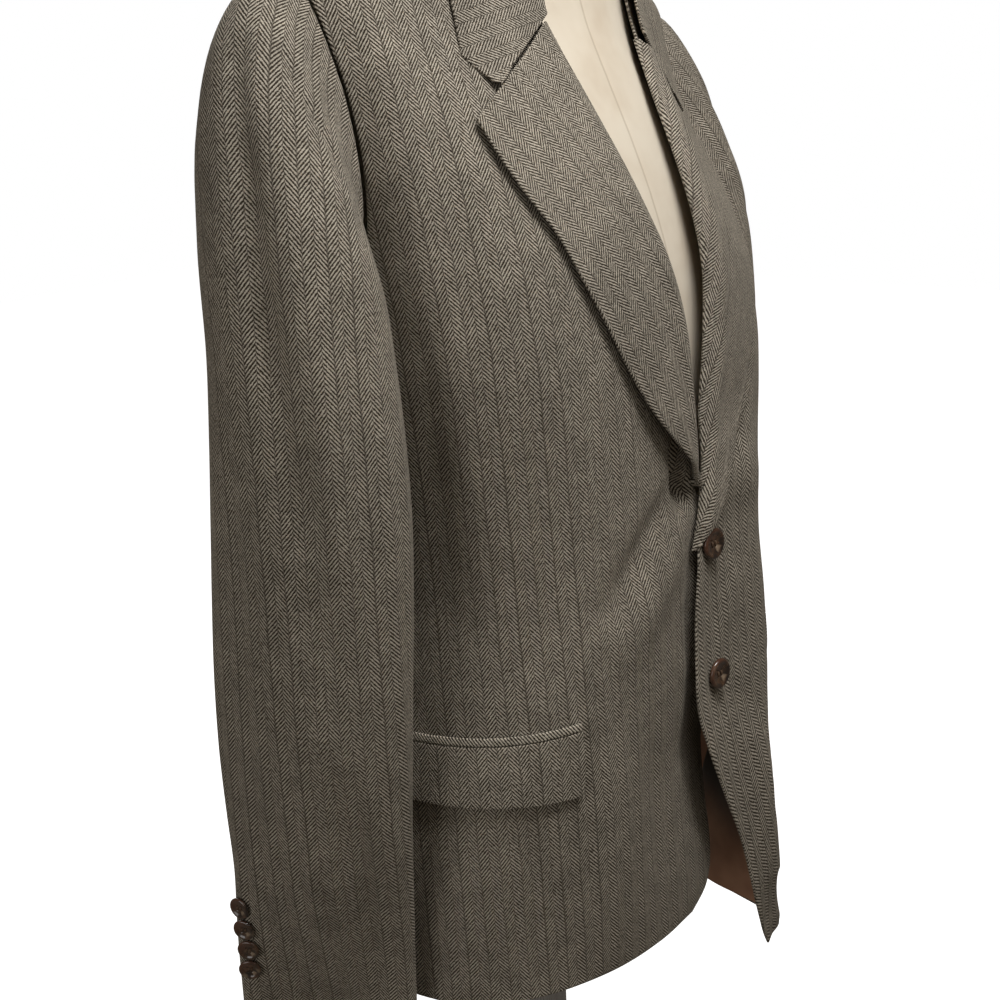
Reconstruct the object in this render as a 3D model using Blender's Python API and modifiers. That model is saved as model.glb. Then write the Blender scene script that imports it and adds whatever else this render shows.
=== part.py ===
"""A single-breasted tweed jacket on a limbless dress form, cut and joined as a tailor would.

The jacket faces -Y, the wearer's right is -X, and Z is up from the floor. The origin is the centre
of the stand's underside. The cloth's tables and outlines are in centimetres, measured from the body's
middle and down from the neck point, where the shoulder seam meets the collar; place() turns them
into metres. Every cloth piece is a wall through a grid of points laid on the body's sections.
"""

import math

import bmesh
import bpy
from mathutils import Matrix, Vector

# Driving dimensions. Lengths in centimetres, except where a name says metres.
CM = 0.01
NECK_POINT_HEIGHT = 144.0
CLOTH = 0.2
EDGE_GAP = 0.018
SHOULDER_SEAM_GAP = 0.11
HEM_DROP = 70.3
SIDE_HEM_DIP = 0.7
BACK_HEM_DIP = 1.0
LEFT_DIP = 3.0
LEFT_SHOULDER_BACK = 1.5
LEFT_SHOULDER_IN = 0.8

SHOULDER_TIP_DROP = 5.0
UNDERARM_DROP = 24.0
ARMHOLE_FORWARD = 3.4
ARMHOLE_BACKWARD = 4.4
ARMHOLE_STEPS = 20
NECK_POINT_TURN = 12.0
SEAM_STEP = 8

BREAK_DROP = {"right": 38.2, "left": 43.2}
BUTTON_DROPS = (42.5, 52.0)
FRONT_BUTTON_X = -0.4
BUTTON_RADIUS = 1.1
BUTTON_LEAN = 8.0
BUTTON_LIFT = 0.14
CUFF_BUTTON_RADIUS = 0.75
CUFF_BUTTON_LIFT = 0.05
CUFF_BUTTON_DROPS = (62.3, 63.95, 65.6, 67.25)

POCKET_DROP = 51.5
POCKET_FRONT_X = 13.5
FLAP_LENGTH = 14.9
FLAP_DEPTH = 4.0
JETTING_WIDTH = 0.55

FORM_BOTTOM_DROP = 56.0
FORM_LEVEL_DROP = 50.0
FORM_NECK_TOP = 7.5
POLE_RADIUS = 1.6
BASE_RADIUS = 19.0
BASE_THICKNESS = 2.6

SIDES = {"right": -1, "left": 1}

COLOURS = {
    "tweed": (0.115, 0.098, 0.075, 1.0),
    "lining": (0.28, 0.17, 0.12, 1.0),
    "horn": (0.055, 0.024, 0.014, 1.0),
    "form_cover": (0.72, 0.62, 0.48, 1.0),
    "wood": (0.16, 0.085, 0.04, 1.0),
    "steel": (0.55, 0.55, 0.56, 1.0),
}
ROUGHNESS = {"tweed": 0.9, "lining": 0.5, "horn": 0.25, "form_cover": 0.8, "wood": 0.45, "steel": 0.3}


class Table:
    """Rows of named columns, read between the rows along a smooth line that doesn't overshoot."""

    def __init__(self, names, rows):
        self.names = names.split()
        self.rows = rows

    def at(self, name, key):
        keys = [row[0] for row in self.rows]
        values = [row[self.names.index(name)] for row in self.rows]
        key = min(max(key, keys[0]), keys[-1])
        i = max(k for k in range(len(keys) - 1) if keys[k] <= key)
        step = keys[i + 1] - keys[i]
        share = (key - keys[i]) / step
        start, end = values[i], values[i + 1]
        out, into = slope(keys, values, i) * step, slope(keys, values, i + 1) * step
        return (
            start * (1 + 2 * share) * (1 - share) ** 2
            + out * share * (1 - share) ** 2
            + end * share**2 * (3 - 2 * share)
            + into * share**2 * (share - 1)
        )


def slope(keys, values, i):
    """The line's slope at row i: the harmonic mean of its neighbours' slopes, or flat at a turn."""
    rises = [(values[k + 1] - values[k]) / (keys[k + 1] - keys[k]) for k in range(len(keys) - 1)]
    if i == 0 or i == len(keys) - 1:
        return rises[0] if i == 0 else rises[-1]
    before, after = rises[i - 1], rises[i]
    return 0.0 if before * after <= 0 else 2 * before * after / (before + after)


# The jacket's outer face around the body: half its width, its depth forward and backward of the
# middle, and how square its front is (2 is an ellipse).
BODY = Table(
    "drop half_width front back squareness",
    (
        (0.0, 7.6, 3.6, 6.5, 2.0),
        (1.0, 10.6, 4.1, 7.2, 2.0),
        (2.0, 13.6, 4.5, 8.0, 2.0),
        (3.0, 16.5, 4.9, 8.7, 2.0),
        (4.0, 19.3, 5.3, 9.4, 2.0),
        (5.0, 21.6, 5.7, 10.0, 2.0),
        (8.0, 22.0, 6.8, 11.2, 2.1),
        (12.0, 21.4, 8.7, 12.0, 2.3),
        (18.0, 20.5, 11.6, 12.4, 2.5),
        (24.0, 19.9, 13.7, 12.2, 2.6),
        (30.0, 19.3, 14.3, 11.4, 2.8),
        (36.0, 18.7, 14.5, 10.6, 2.8),
        (42.0, 18.4, 14.7, 10.2, 2.8),
        (48.0, 18.9, 15.0, 10.8, 2.8),
        (54.0, 19.7, 15.2, 11.7, 2.8),
        (60.0, 20.2, 15.3, 12.1, 2.75),
        (66.0, 20.4, 15.3, 12.1, 2.7),
        (76.0, 20.4, 15.1, 11.6, 2.6),
    ),
)

# Each front's inner edge: the neck and the lapel's fold down to its break, then the buttoned edge
# and the cutaway round to the hem. Negative is past the middle.
FRONT_EDGE = Table(
    "drop right left",
    (
        (0.0, 7.5, 7.5),
        (1.2, 7.2, 7.2),
        (3.2, 6.75, 6.75),
        (5.0, 6.3, 6.3),
        (8.2, 5.65, 5.5),
        (12.3, 4.85, 4.2),
        (17.5, 3.75, 3.2),
        (22.5, 2.7, 2.2),
        (27.5, 1.6, 1.2),
        (33.0, 1.3, 0.0),
        (38.2, 1.0, -1.05),
        (41.0, -0.8, -1.9),
        (46.0, -2.0, -2.8),
        (54.0, -1.8, -3.3),
        (58.0, -1.1, -2.2),
        (62.0, -0.9, -0.7),
        (66.0, -0.6, 0.8),
        (67.6, -0.4, 1.2),
        (68.8, 0.1, 1.5),
        (69.7, 1.0, 1.7),
        (70.3, 2.6, 1.8),
        (73.0, 2.6, 2.9),
        (75.0, 2.6, 3.9),
        (76.4, 2.6, 5.6),
    ),
)

# The back's neck edge, from the neck point to the middle.
BACK_NECK = Table("drop x", ((0.0, 7.5), (0.6, 6.5), (1.2, 5.0), (1.8, 2.6), (2.05, 0.0)))

# How far each front stands off the body's section near its inner edge, and how far the left one's
# skirt falls in at its fold. The left front lies over the right one and swings forward below the
# buttons; the right one falls back behind it.
FRONT_STAND = Table(
    "drop right left left_fold",
    (
        (0.0, 0.0, 0.0, 0.0),
        (33.0, 0.0, 0.0, 0.0),
        (36.0, 0.0, 0.42, 0.0),
        (38.2, 0.0, 0.8, 0.0),
        (42.0, 0.0, 0.42, 0.0),
        (52.0, 0.0, 0.5, 0.0),
        (55.0, -0.9, 0.85, -0.3),
        (57.5, -1.5, 1.2, -1.4),
        (61.5, -1.2, 1.75, -3.2),
        (66.0, -0.5, 2.3, -4.4),
        (71.0, -0.2, 2.7, -4.8),
        (76.0, -0.2, 3.0, -5.0),
    ),
)

# What share of each stand is left at a distance across the front. The left front's skirt swings
# out at its edge and folds back in towards the hip.
STAND_SHARE = Table(
    "x right left left_fold",
    (
        (0.0, 1.0, 0.78, 0.0),
        (2.0, 0.9, 0.85, 0.0),
        (5.0, 0.35, 0.97, 0.0),
        (7.5, 0.08, 0.85, 0.0),
        (9.0, 0.0, 0.35, 0.25),
        (10.5, 0.0, 0.05, 0.75),
        (12.0, 0.0, 0.0, 1.0),
        (14.5, 0.0, 0.0, 0.6),
        (17.0, 0.0, 0.0, 0.12),
        (19.0, 0.0, 0.0, 0.0),
    ),
)
LEFT_FRONT_SAG = 5.0
SAG_START_DROP = 56.0
LINING_START_DROP = 57
LINING_FIRST_COLUMN = 1
LINING_GAP = 0.1

# The lapel's free edge, from its point to the break, and how far the lapel stands off the front
# at that edge.
LAPEL_EDGE = Table(
    "drop x stand",
    (
        (13.7, 14.8, 0.28),
        (16.9, 13.9, 0.28),
        (19.4, 12.7, 0.28),
        (22.6, 11.2, 0.28),
        (25.9, 9.4, 0.3),
        (30.4, 6.9, 0.45),
        (33.9, 4.3, 0.75),
        (36.6, 2.1, 0.75),
        (38.2, 0.6, 0.4),
    ),
)
LEFT_LAPEL_LIFT = 0.75
GORGE_GAP = 0.24
GORGE_INNER = (5.5, 8.2)
NOTCH_INNER = (12.1, 11.8)
COLLAR_CORNER = (13.9, 9.7)

# The fold at a lapel's inner edge: how far in from the edge and how far out from the front.
ROLL = ((0.03, -0.18), (0.0, 0.06), (0.04, 0.32), (0.2, 0.52), (0.52, 0.6))

# The collar from the gorge to the middle of the back: its crease in space, and its outer edge on
# the body (a negative turn side means the front half, a positive one the back half).
COLLAR = Table(
    "station crease_x crease_y crease_drop edge_x edge_drop edge_back",
    (
        (1.0, 6.1, -6.3, 5.0, 13.5, 7.3, 0.0),
        (2.0, 6.8, -5.0, 2.0, 13.1, 4.7, 0.0),
        (3.0, 7.2, -3.0, -0.4, 12.4, 2.6, 0.0),
        (4.0, 7.35, -0.4, -1.7, 11.6, 1.45, 0.5),
        (5.0, 7.1, 2.3, -2.1, 10.4, 1.9, 1.0),
        (6.0, 5.7, 5.0, -1.8, 7.9, 2.5, 1.0),
        (7.0, 3.1, 6.9, -1.3, 4.2, 3.0, 1.0),
        (8.0, 0.0, 7.5, -1.1, 0.0, 3.2, 1.0),
    ),
)
COLLAR_COLUMNS = 6
STAND_COLUMNS = 3

# A sleeve's sections: the middle of each, half its breadth and half its thickness, how far
# its front end turns in, and how deep its outer face is pressed in.
SLEEVE = Table(
    "drop x y half_breadth half_thickness turn press",
    (
        (26.0, 24.6, -1.65, 5.7, 4.1, 14.0, 0.0),
        (30.0, 24.7, -1.75, 6.0, 4.1, 15.0, 0.0),
        (36.0, 24.9, -1.65, 6.35, 4.0, 16.0, 0.0),
        (42.0, 25.0, -1.2, 6.45, 3.8, 18.0, 0.0),
        (48.0, 25.1, -0.75, 6.45, 3.5, 20.0, 0.0),
        (54.0, 25.1, -0.4, 6.25, 3.1, 22.0, 0.2),
        (60.0, 25.0, -0.2, 6.0, 2.7, 25.0, 0.6),
        (65.0, 24.9, 0.2, 6.0, 2.5, 28.0, 1.6),
        (71.0, 24.7, 0.6, 6.0, 2.5, 28.0, 3.0),
    ),
)
LEFT_SLEEVE_BACK = 1.6
LEFT_SLEEVE_IN = 0.0
SLEEVE_DROPS = (26.0, 31.0, 36.0, 41.0, 46.0, 51.0, 55.5, 60.0, 63.0, 66.0, 68.5, 71.0)
CAP_SHARES = (0.0, 0.14, 0.3, 0.5, 0.74)

# The dress form's sections.
FORM = Table(
    "drop half_width front back squareness",
    (
        (-7.5, 5.6, 4.6, 5.5, 2.0),
        (-4.0, 5.8, 4.7, 5.6, 2.0),
        (-1.5, 6.0, 4.9, 5.8, 1.9),
        (0.0, 6.4, 5.0, 5.9, 1.6),
        (1.0, 9.0, 5.0, 6.1, 1.5),
        (2.0, 12.5, 5.0, 6.5, 1.5),
        (3.0, 15.6, 5.1, 7.2, 1.6),
        (4.0, 18.4, 5.2, 8.2, 1.7),
        (5.2, 20.2, 5.3, 9.4, 1.8),
        (8.0, 20.3, 6.0, 10.3, 2.0),
        (12.0, 19.3, 7.7, 11.0, 2.2),
        (18.0, 18.2, 10.3, 11.2, 2.3),
        (24.0, 17.4, 12.2, 10.9, 2.4),
        (30.0, 17.0, 12.9, 10.1, 2.4),
        (36.0, 16.2, 12.9, 9.3, 2.4),
        (42.0, 15.6, 12.6, 9.0, 2.4),
        (48.0, 16.2, 12.4, 9.6, 2.4),
        (52.0, 16.9, 12.2, 10.2, 2.4),
        (54.5, 16.6, 11.8, 10.0, 2.3),
        (56.0, 15.4, 10.8, 9.0, 2.2),
    ),
)
FORM_DROPS = (-7.5, -4, -1.5, 0, 1, 2, 3, 4, 5.2, 8, 12, 16, 20, 24, 29, 34, 39, 44, 49, 52, 54.5, 56)
FORM_COLUMNS = 32

SHOULDER_ROWS = (0.0, 0.6, 1.2, 1.8, 2.4, 3.2, 4.1, 5.0)
SKIRT_ROWS = (25, 28, 31.5, 35, 38.2, 41, 43.2, 47, 50.5, 54, 57, 60, 63, 65.5, 67.5, 68.9, 69.8, HEM_DROP)
FRONT_COLUMNS = 8
BACK_COLUMNS = 5


def clear_scene():
    for existing in list(bpy.data.objects):
        bpy.data.objects.remove(existing, do_unlink=True)


def collection(name):
    made = bpy.data.collections.new(name)
    bpy.context.scene.collection.children.link(made)
    return made


def material(name):
    """The finish's plain colour, made once."""
    if name in bpy.data.materials:
        return bpy.data.materials[name]
    made = bpy.data.materials.new(name)
    made.use_nodes = True
    shader = made.node_tree.nodes["Principled BSDF"]
    shader.inputs["Base Color"].default_value = COLOURS[name]
    shader.inputs["Roughness"].default_value = ROUGHNESS[name]
    shader.inputs["Metallic"].default_value = 1.0 if name == "steel" else 0.0
    return made


def place(point, level_below=1.0e3):
    """A point in centimetres (x, y, drop) as metres; the left shoulder sits lower and further back."""
    x, y, drop = point
    shoulder = smooth_share(x, 4.0, 14.0) * (1 - smooth_share(drop, 8.0, 24.0))
    x, y = x - LEFT_SHOULDER_IN * shoulder, y + LEFT_SHOULDER_BACK * shoulder
    settled = (1 - 0.3 * smooth_share(drop, 14.0, 40.0)) * (1 - smooth_share(drop, level_below - 30, level_below))
    drop += LEFT_DIP * settled * smooth_share(x, 0.0, 13.0) * smooth_share(drop, -2.0, 8.0)
    return Vector((x * CM, y * CM, (NECK_POINT_HEIGHT - drop) * CM))


def smooth_share(value, start, end):
    """0 before start, 1 after end, and an even S between them."""
    share = min(max((value - start) / (end - start), 0.0), 1.0)
    return share * share * (3 - 2 * share)


# --- The body's sections -------------------------------------------------------------------------


def turn_at(x, drop, table=BODY):
    """The angle round the front half, from its middle, at which the section is x from the middle."""
    share = min(abs(x) / table.at("half_width", drop), 1.0)
    angle = math.degrees(math.asin(share ** (table.at("squareness", drop) / 2)))
    return math.copysign(angle, x)


def turn_at_depth(y, drop):
    """The angle round the section at which it is y forward (negative) or backward of the middle."""
    if y < 0:
        share = min(-y / BODY.at("front", drop), 1.0)
        return math.degrees(math.acos(share ** (BODY.at("squareness", drop) / 2)))
    return 90 + math.degrees(math.asin(min(y / BODY.at("back", drop), 1.0)))


def section(turn, drop, side, table=BODY):
    """The section's point at an angle: 0 is the front's middle, 90 the side, 180 the back's middle."""
    angle = math.radians(turn)
    power = 2 / table.at("squareness", drop) if abs(turn) < 90 else 1.0
    depth = "front" if abs(turn) < 90 else "back"
    across = math.copysign(abs(math.sin(angle)) ** power, turn)
    along = abs(math.cos(angle)) ** power
    away = -1 if abs(turn) < 90 else 1
    return Vector(
        (
            side * table.at("half_width", drop) * across,
            away * table.at(depth, drop) * along,
            drop,
        )
    )


def outward(turn, drop, side):
    """The direction straight out of the body's section, with drop as its third part."""
    step = 0.5
    across = section(turn + step, drop, side) - section(turn - step, drop, side)
    down = section(turn, drop + step * 0.2, side) - section(turn, max(drop - step * 0.2, 0.0), side)
    return (across.cross(down) * side).normalized()


def laid(turn, drop, side, lift=0.0):
    """A point on the body, lifted straight off it."""
    return section(turn, drop, side) + outward(turn, drop, side) * lift


def moved_turn(turn, drop, side, distance):
    """The angle that lies a distance further round the section."""
    step = 0.25
    speed = (section(turn + step, drop, side) - section(turn - step, drop, side)).length / (2 * step)
    return turn + distance / speed


def armhole(step):
    """The armhole's edge as (depth, drop): step 0 is the shoulder tip, a quarter on is its front."""
    angle = 2 * math.pi * step / ARMHOLE_STEPS
    reach = ARMHOLE_FORWARD if math.sin(angle) > 0 else ARMHOLE_BACKWARD
    depth = -reach * math.sin(angle) * (1 - 0.25 * math.cos(angle))
    middle = (SHOULDER_TIP_DROP + UNDERARM_DROP) / 2
    return depth, middle - (UNDERARM_DROP - SHOULDER_TIP_DROP) / 2 * math.cos(angle)


ARMHOLE_ROWS = tuple(armhole(step)[1] for step in range(1, SEAM_STEP + 1))
PANEL_ROWS = SHOULDER_ROWS + ARMHOLE_ROWS + SKIRT_ROWS
SIDE_SEAM_FRONT = armhole(SEAM_STEP)[0]
SIDE_SEAM_BACK = armhole(ARMHOLE_STEPS - SEAM_STEP)[0]


def outer_turn(drop, row, back):
    """The angle of a front's or a back's outer edge: shoulder seam, armhole, then side seam."""
    if row < len(SHOULDER_ROWS):
        return 90.0
    step = row - len(SHOULDER_ROWS) + 1
    if step < SEAM_STEP:
        depth = armhole(ARMHOLE_STEPS - step if back else step)[0]
        return turn_at_depth(depth, drop)
    return turn_at_depth(SIDE_SEAM_BACK if back else SIDE_SEAM_FRONT, drop)


def seam_gap(row):
    """The shoulder seam lies along a ridge, so the walls there are held further apart."""
    return SHOULDER_SEAM_GAP if row < len(SHOULDER_ROWS) else 2.6 * EDGE_GAP


def front_stand(side_name, x, drop):
    """How far a front stands off the body's section at a place."""
    stand = FRONT_STAND.at(side_name, drop) * STAND_SHARE.at(side_name, x)
    if side_name == "left":
        stand += FRONT_STAND.at("left_fold", drop) * STAND_SHARE.at("left_fold", x)
    return stand


def front_point(side_name, x, drop, lift=0.0):
    """A point on a front at its own side's x, lifted off the cloth."""
    side = SIDES[side_name]
    stand = front_stand(side_name, x, drop)
    return laid(turn_at(x, drop), drop, side, stand + lift)


# --- Making walls --------------------------------------------------------------------------------


def new_object(name, mesh, finish, group):
    made = bpy.data.objects.new(name, mesh)
    mesh.materials.append(material(finish))
    group.objects.link(made)
    return made


def sheet_mesh(name, grid, flip=False, wrap=False):
    """An open sheet through a grid of points in metres, rows first."""
    shape = bmesh.new()
    corners = [[shape.verts.new(point) for point in row] for row in grid]
    columns = len(grid[0])
    for upper, lower in zip(corners, corners[1:]):
        for i in range(columns if wrap else columns - 1):
            j = (i + 1) % columns
            face = [upper[i], upper[j], lower[j], lower[i]]
            shape.faces.new(face[::-1] if flip else face)
    mesh = bpy.data.meshes.new(name)
    shape.to_mesh(mesh)
    shape.free()
    return mesh


def cloth(name, grid, group, flip=False, wrap=False, finish="tweed", thickness=CLOTH):
    """A cloth piece: the grid is its outer face, and the wall goes in from there."""
    points = [[place(point) for point in row] for row in grid]
    made = new_object(name, sheet_mesh(name, points, flip, wrap), finish, group)
    wall = made.modifiers.new("wall", "SOLIDIFY")
    wall.thickness = thickness * CM
    wall.offset = -1.0
    return made


# --- Fronts, sides and back ----------------------------------------------------------------------


def front(side_name, group):
    """A front, from the shoulder seam and the lapel's fold to the side seam and the hem."""
    side = SIDES[side_name]
    grid = []
    for row, drop in enumerate(PANEL_ROWS):
        inner_x = FRONT_EDGE.at(side_name, sagged(drop, side_name, 1.0))
        if drop < BREAK_DROP[side_name] + 0.1:
            inner_x += ROLL[0][0] + CLOTH + 5.5 * EDGE_GAP
        outer = moved_turn(outer_turn(drop, row, back=False), drop, side, -seam_gap(row))
        inner = min(turn_at(inner_x, drop), outer - NECK_POINT_TURN)
        line = []
        for column in range(FRONT_COLUMNS + 1):
            share = column / FRONT_COLUMNS
            turn = inner + (outer - inner) * share
            x = section(turn, drop, 1).x
            low = sagged(hem_drop(turn, drop), side_name, 1 - share)
            point = section(turn, drop, side)
            point.z = low
            line.append(point + outward(turn, drop, side) * front_stand(side_name, x, low))
        grid.append(line)
    cloth(f"front_{side_name}", grid, group, flip=side > 0)
    return grid


def moved_in(grid, side, distance):
    """The grid's points, moved in square to the grid itself."""
    moved = []
    for i, line in enumerate(grid):
        above, below = grid[max(i - 1, 0)], grid[min(i + 1, len(grid) - 1)]
        new_line = []
        for j, point in enumerate(line):
            across = line[min(j + 1, len(line) - 1)] - line[max(j - 1, 0)]
            down = below[j] - above[j]
            new_line.append(point - (across.cross(down) * side).normalized() * distance)
        moved.append(new_line)
    return moved


def skirt_lining(front_grid, group):
    """The lining inside the left front's skirt, from behind its edge facing to the side seam."""
    first_row = PANEL_ROWS.index(LINING_START_DROP)
    inside = moved_in(front_grid, 1, CLOTH + LINING_GAP)
    inside = [line[LINING_FIRST_COLUMN:] for line in inside[first_row:-1]]
    cloth("lining_left_front", inside, group, flip=True, finish="lining", thickness=0.1)


def sagged(drop, side_name, share):
    """The left front's skirt hangs lower towards its edge."""
    if side_name == "right":
        return drop
    return drop + LEFT_FRONT_SAG * smooth_share(drop, SAG_START_DROP, HEM_DROP) * share**1.2


def back(side_name, group):
    """Half of the back, from its shoulder seam and neck edge to the middle seam and the hem."""
    side = SIDES[side_name]
    grid = []
    for row, drop in enumerate(PANEL_ROWS):
        outer = moved_turn(outer_turn(drop, row, back=True), drop, side, seam_gap(row))
        neck_x = (BACK_NECK.at("x", drop) if drop < 2.05 else 0.0) + 2.2 * EDGE_GAP
        inner = 180 - math.degrees(math.asin(neck_x / BODY.at("half_width", drop)))
        line = []
        for column in range(BACK_COLUMNS + 1):
            turn = outer + (inner - outer) * column / BACK_COLUMNS
            line.append(laid(turn, hem_drop(turn, drop), side))
        grid.append(line)
    cloth(f"back_{side_name}", grid, group, flip=side > 0)


def hem_drop(turn, drop):
    """The hem dips a little from the front to the side and again to the middle of the back."""
    low = smooth_share(drop, UNDERARM_DROP, HEM_DROP)
    return drop + low * (SIDE_HEM_DIP * smooth_share(turn, 30, 80) + BACK_HEM_DIP * smooth_share(turn, 90, 180))


def side_panel(side_name, group):
    """The panel under the arm, between a front and a back."""
    side = SIDES[side_name]
    steps = range(SEAM_STEP, ARMHOLE_STEPS - SEAM_STEP + 1)
    grid = []
    for drop in (None,) + SKIRT_ROWS:
        line = []
        for step in steps:
            depth, level = armhole(step)
            level = level + EDGE_GAP if drop is None else drop
            seam_share = (step - steps[0]) / (len(steps) - 1)
            if drop is not None:
                depth = SIDE_SEAM_FRONT + (SIDE_SEAM_BACK - SIDE_SEAM_FRONT) * seam_share
            turn = turn_at_depth(depth, level)
            shift = 2.6 * EDGE_GAP * (1 - 2 * seam_share)
            turn = moved_turn(turn, level, side, shift)
            line.append(laid(turn, hem_drop(turn, level), side))
        grid.append(line)
    cloth(f"side_{side_name}", grid, group, flip=side > 0)


# --- Sleeves -------------------------------------------------------------------------------------


def sleeve_section(step, drop, side):
    """A sleeve's section: step 0 is its outer face, a quarter on its front edge, then its inner face."""
    angle = 2 * math.pi * step / ARMHOLE_STEPS
    lean = math.radians(SLEEVE.at("turn", drop))
    along = SLEEVE.at("half_breadth", drop) * math.sin(angle)
    out = SLEEVE.at("half_thickness", drop) * math.cos(angle)
    if math.cos(angle) > 0:
        out -= SLEEVE.at("press", drop) * math.cos(angle) ** 2
    x = SLEEVE.at("x", drop) + out * math.cos(lean) - along * math.sin(lean)
    y = SLEEVE.at("y", drop) - along * math.cos(lean) - out * math.sin(lean)
    if side > 0:
        x, y = x - LEFT_SLEEVE_IN, y + LEFT_SLEEVE_BACK
    return Vector((side * x, y, drop))


def sleeve_cap(step, share, side):
    """The sleeve head: it leaves the armhole outward and turns down into the arm."""
    depth, drop = armhole(step)
    start = section(turn_at_depth(depth, drop), drop, side) + Vector((side * 2 * EDGE_GAP, 0, 0))
    end = sleeve_section(step, SLEEVE_DROPS[0], side)
    angle = 2 * math.pi * step / ARMHOLE_STEPS
    top = 0.5 + 0.5 * math.cos(angle)
    behind = max(0.0, -math.sin(angle))
    out = start + Vector((side * (0.35 + 5.0 * top + 1.3 * behind), 0.8 * behind, -0.3 * top))
    over = end + Vector((side * -0.2 * behind, 0.1 * behind, -0.5 - 12.5 * top))
    rest = 1 - share
    return (
        start * rest**3
        + out * 3 * rest**2 * share
        + over * 3 * rest * share**2
        + end * share**3
    )


def sleeve_point(step, level, side):
    """A sleeve's point: level counts the cap's rows, then the arm's."""
    if level < len(CAP_SHARES):
        return sleeve_cap(step, CAP_SHARES[level], side)
    return sleeve_section(step, SLEEVE_DROPS[level - len(CAP_SHARES)], side)


def set_back(beyond, edge, inner):
    """An edge point moved in, so that the walls on both sides of a bent seam stay apart."""
    bend = (edge - beyond).angle(inner - edge, 0.0)
    return edge + (inner - edge).normalized() * (2.4 * EDGE_GAP + CLOTH * math.tan(bend / 2))


def sleeve_piece(name, side, first, last, group):
    """The part of a sleeve between two steps round it, held back from its seams."""
    grid = []
    for level in range(len(CAP_SHARES) + len(SLEEVE_DROPS)):
        line = [sleeve_point(step, level, side) for step in range(first, last + 1)]
        before, after = sleeve_point(first - 1, level, side), sleeve_point(last + 1, level, side)
        line[0], line[-1] = set_back(before, line[0], line[1]), set_back(after, line[-1], line[-2])
        grid.append(line)
    cloth(name, grid, group, flip=side < 0)


def sleeves(group):
    front_seam, back_seam = 7, 15
    for side_name, side in SIDES.items():
        sleeve_piece(f"top_sleeve_{side_name}", side, back_seam - ARMHOLE_STEPS, front_seam, group)
        sleeve_piece(f"under_sleeve_{side_name}", side, front_seam, back_seam, group)


# --- Lapels and collar ---------------------------------------------------------------------------


def lapel(side_name, group):
    """A lapel: the facing turned out over the front, from the gorge and the notch to the break."""
    side = SIDES[side_name]
    rows = 11
    flat = 5
    drop_shift = BREAK_DROP[side_name] - BREAK_DROP["right"]
    grid = []
    for row in range(rows + 1):
        share = row / rows
        if row == 0:
            roll_x, roll_drop = GORGE_INNER
            edge_x, edge_drop = LAPEL_EDGE.rows[0][1], LAPEL_EDGE.rows[0][0]
        else:
            edge_drop = LAPEL_EDGE.rows[0][0] + (BREAK_DROP["right"] - LAPEL_EDGE.rows[0][0]) * share
            roll_drop = GORGE_INNER[1] + (BREAK_DROP["right"] - GORGE_INNER[1]) * share**0.92
            roll_drop = min(roll_drop, edge_drop)
            edge_x = LAPEL_EDGE.at("x", edge_drop)
        slip = drop_shift * share**2
        edge_drop, roll_drop = edge_drop + slip, roll_drop + slip
        roll_x = FRONT_EDGE.at(side_name, roll_drop) if row else GORGE_INNER[0]
        edge_x = max(edge_x - slip * 0.28, roll_x + 0.6)
        stand = LAPEL_EDGE.at("stand", edge_drop - slip)
        if side_name == "left":
            stand = 0.3 + LEFT_LAPEL_LIFT * smooth_share(share, 0.72, 0.93)
        line = []
        soft = 1 - 0.45 * smooth_share(share, 0.75, 1.0)
        for inward, out in ROLL:
            line.append(front_point(side_name, roll_x + inward * soft, roll_drop, out * soft))
        fold_x = roll_x + ROLL[-1][0] * soft
        for column in range(1, flat + 1):
            across = column / flat
            x = fold_x + (edge_x - fold_x) * across
            drop = roll_drop + (edge_drop - roll_drop) * across
            if row == 0:
                x, drop = top_edge(across, (fold_x, roll_drop), NOTCH_INNER, (edge_x, edge_drop))
            fold_out = ROLL[-1][1] * soft
            out = fold_out + (stand - fold_out) * across + 0.1 * math.sin(math.pi * across)
            line.append(front_point(side_name, x, drop, out))
        grid.append(line)
    cloth(f"lapel_{side_name}", grid, group, flip=side > 0)


def top_edge(across, start, corner, end):
    """A place along a piece's end, which runs straight to a corner and then straight on."""
    split = 0.6
    if across <= split:
        share = across / split
        first, last = start, corner
    else:
        share = (across - split) / (1 - split)
        first, last = corner, end
    return first[0] + (last[0] - first[0]) * share, first[1] + (last[1] - first[1]) * share


def body_value(point):
    """How far out a point is of the body's section at its level, 1 on the section."""
    drop = max(point.z, 0.0)
    depth = BODY.at("front" if point.y < 0 else "back", drop)
    square = BODY.at("squareness", drop) if point.y < 0 else 2.0
    width = BODY.at("half_width", drop)
    return (abs(point.x / width) ** square + abs(point.y / depth) ** square) ** (1 / square)


def cleared(point, lift):
    """The point, pushed straight off the body until it is clear of it by the lift."""
    if point.z < 0.05:
        return point
    for _ in range(4):
        step = 0.05
        rise = Vector([body_value(point + axis) - body_value(point - axis) for axis in steps_along(step)])
        rise /= 2 * step
        away = (body_value(point) - 1) / rise.length
        if away >= lift:
            break
        point = point + rise.normalized() * (lift - away)
    return point


def steps_along(step):
    return Vector((step, 0, 0)), Vector((0, step, 0)), Vector((0, 0, step))


def collar_edge(station):
    """The collar's outer edge on the body, at one station of the left half."""
    x, drop = COLLAR.at("edge_x", station), COLLAR.at("edge_drop", station)
    front_turn = turn_at(x, drop)
    back_turn = 180 - math.degrees(math.asin(min(x / BODY.at("half_width", drop), 1.0)))
    share = COLLAR.at("edge_back", station)
    turn = front_turn + (back_turn - front_turn) * share
    return laid(turn, drop, 1, CLOTH + 0.12)


def collar_crease(station):
    return Vector([COLLAR.at(name, station) for name in ("crease_x", "crease_y", "crease_drop")])


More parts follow.
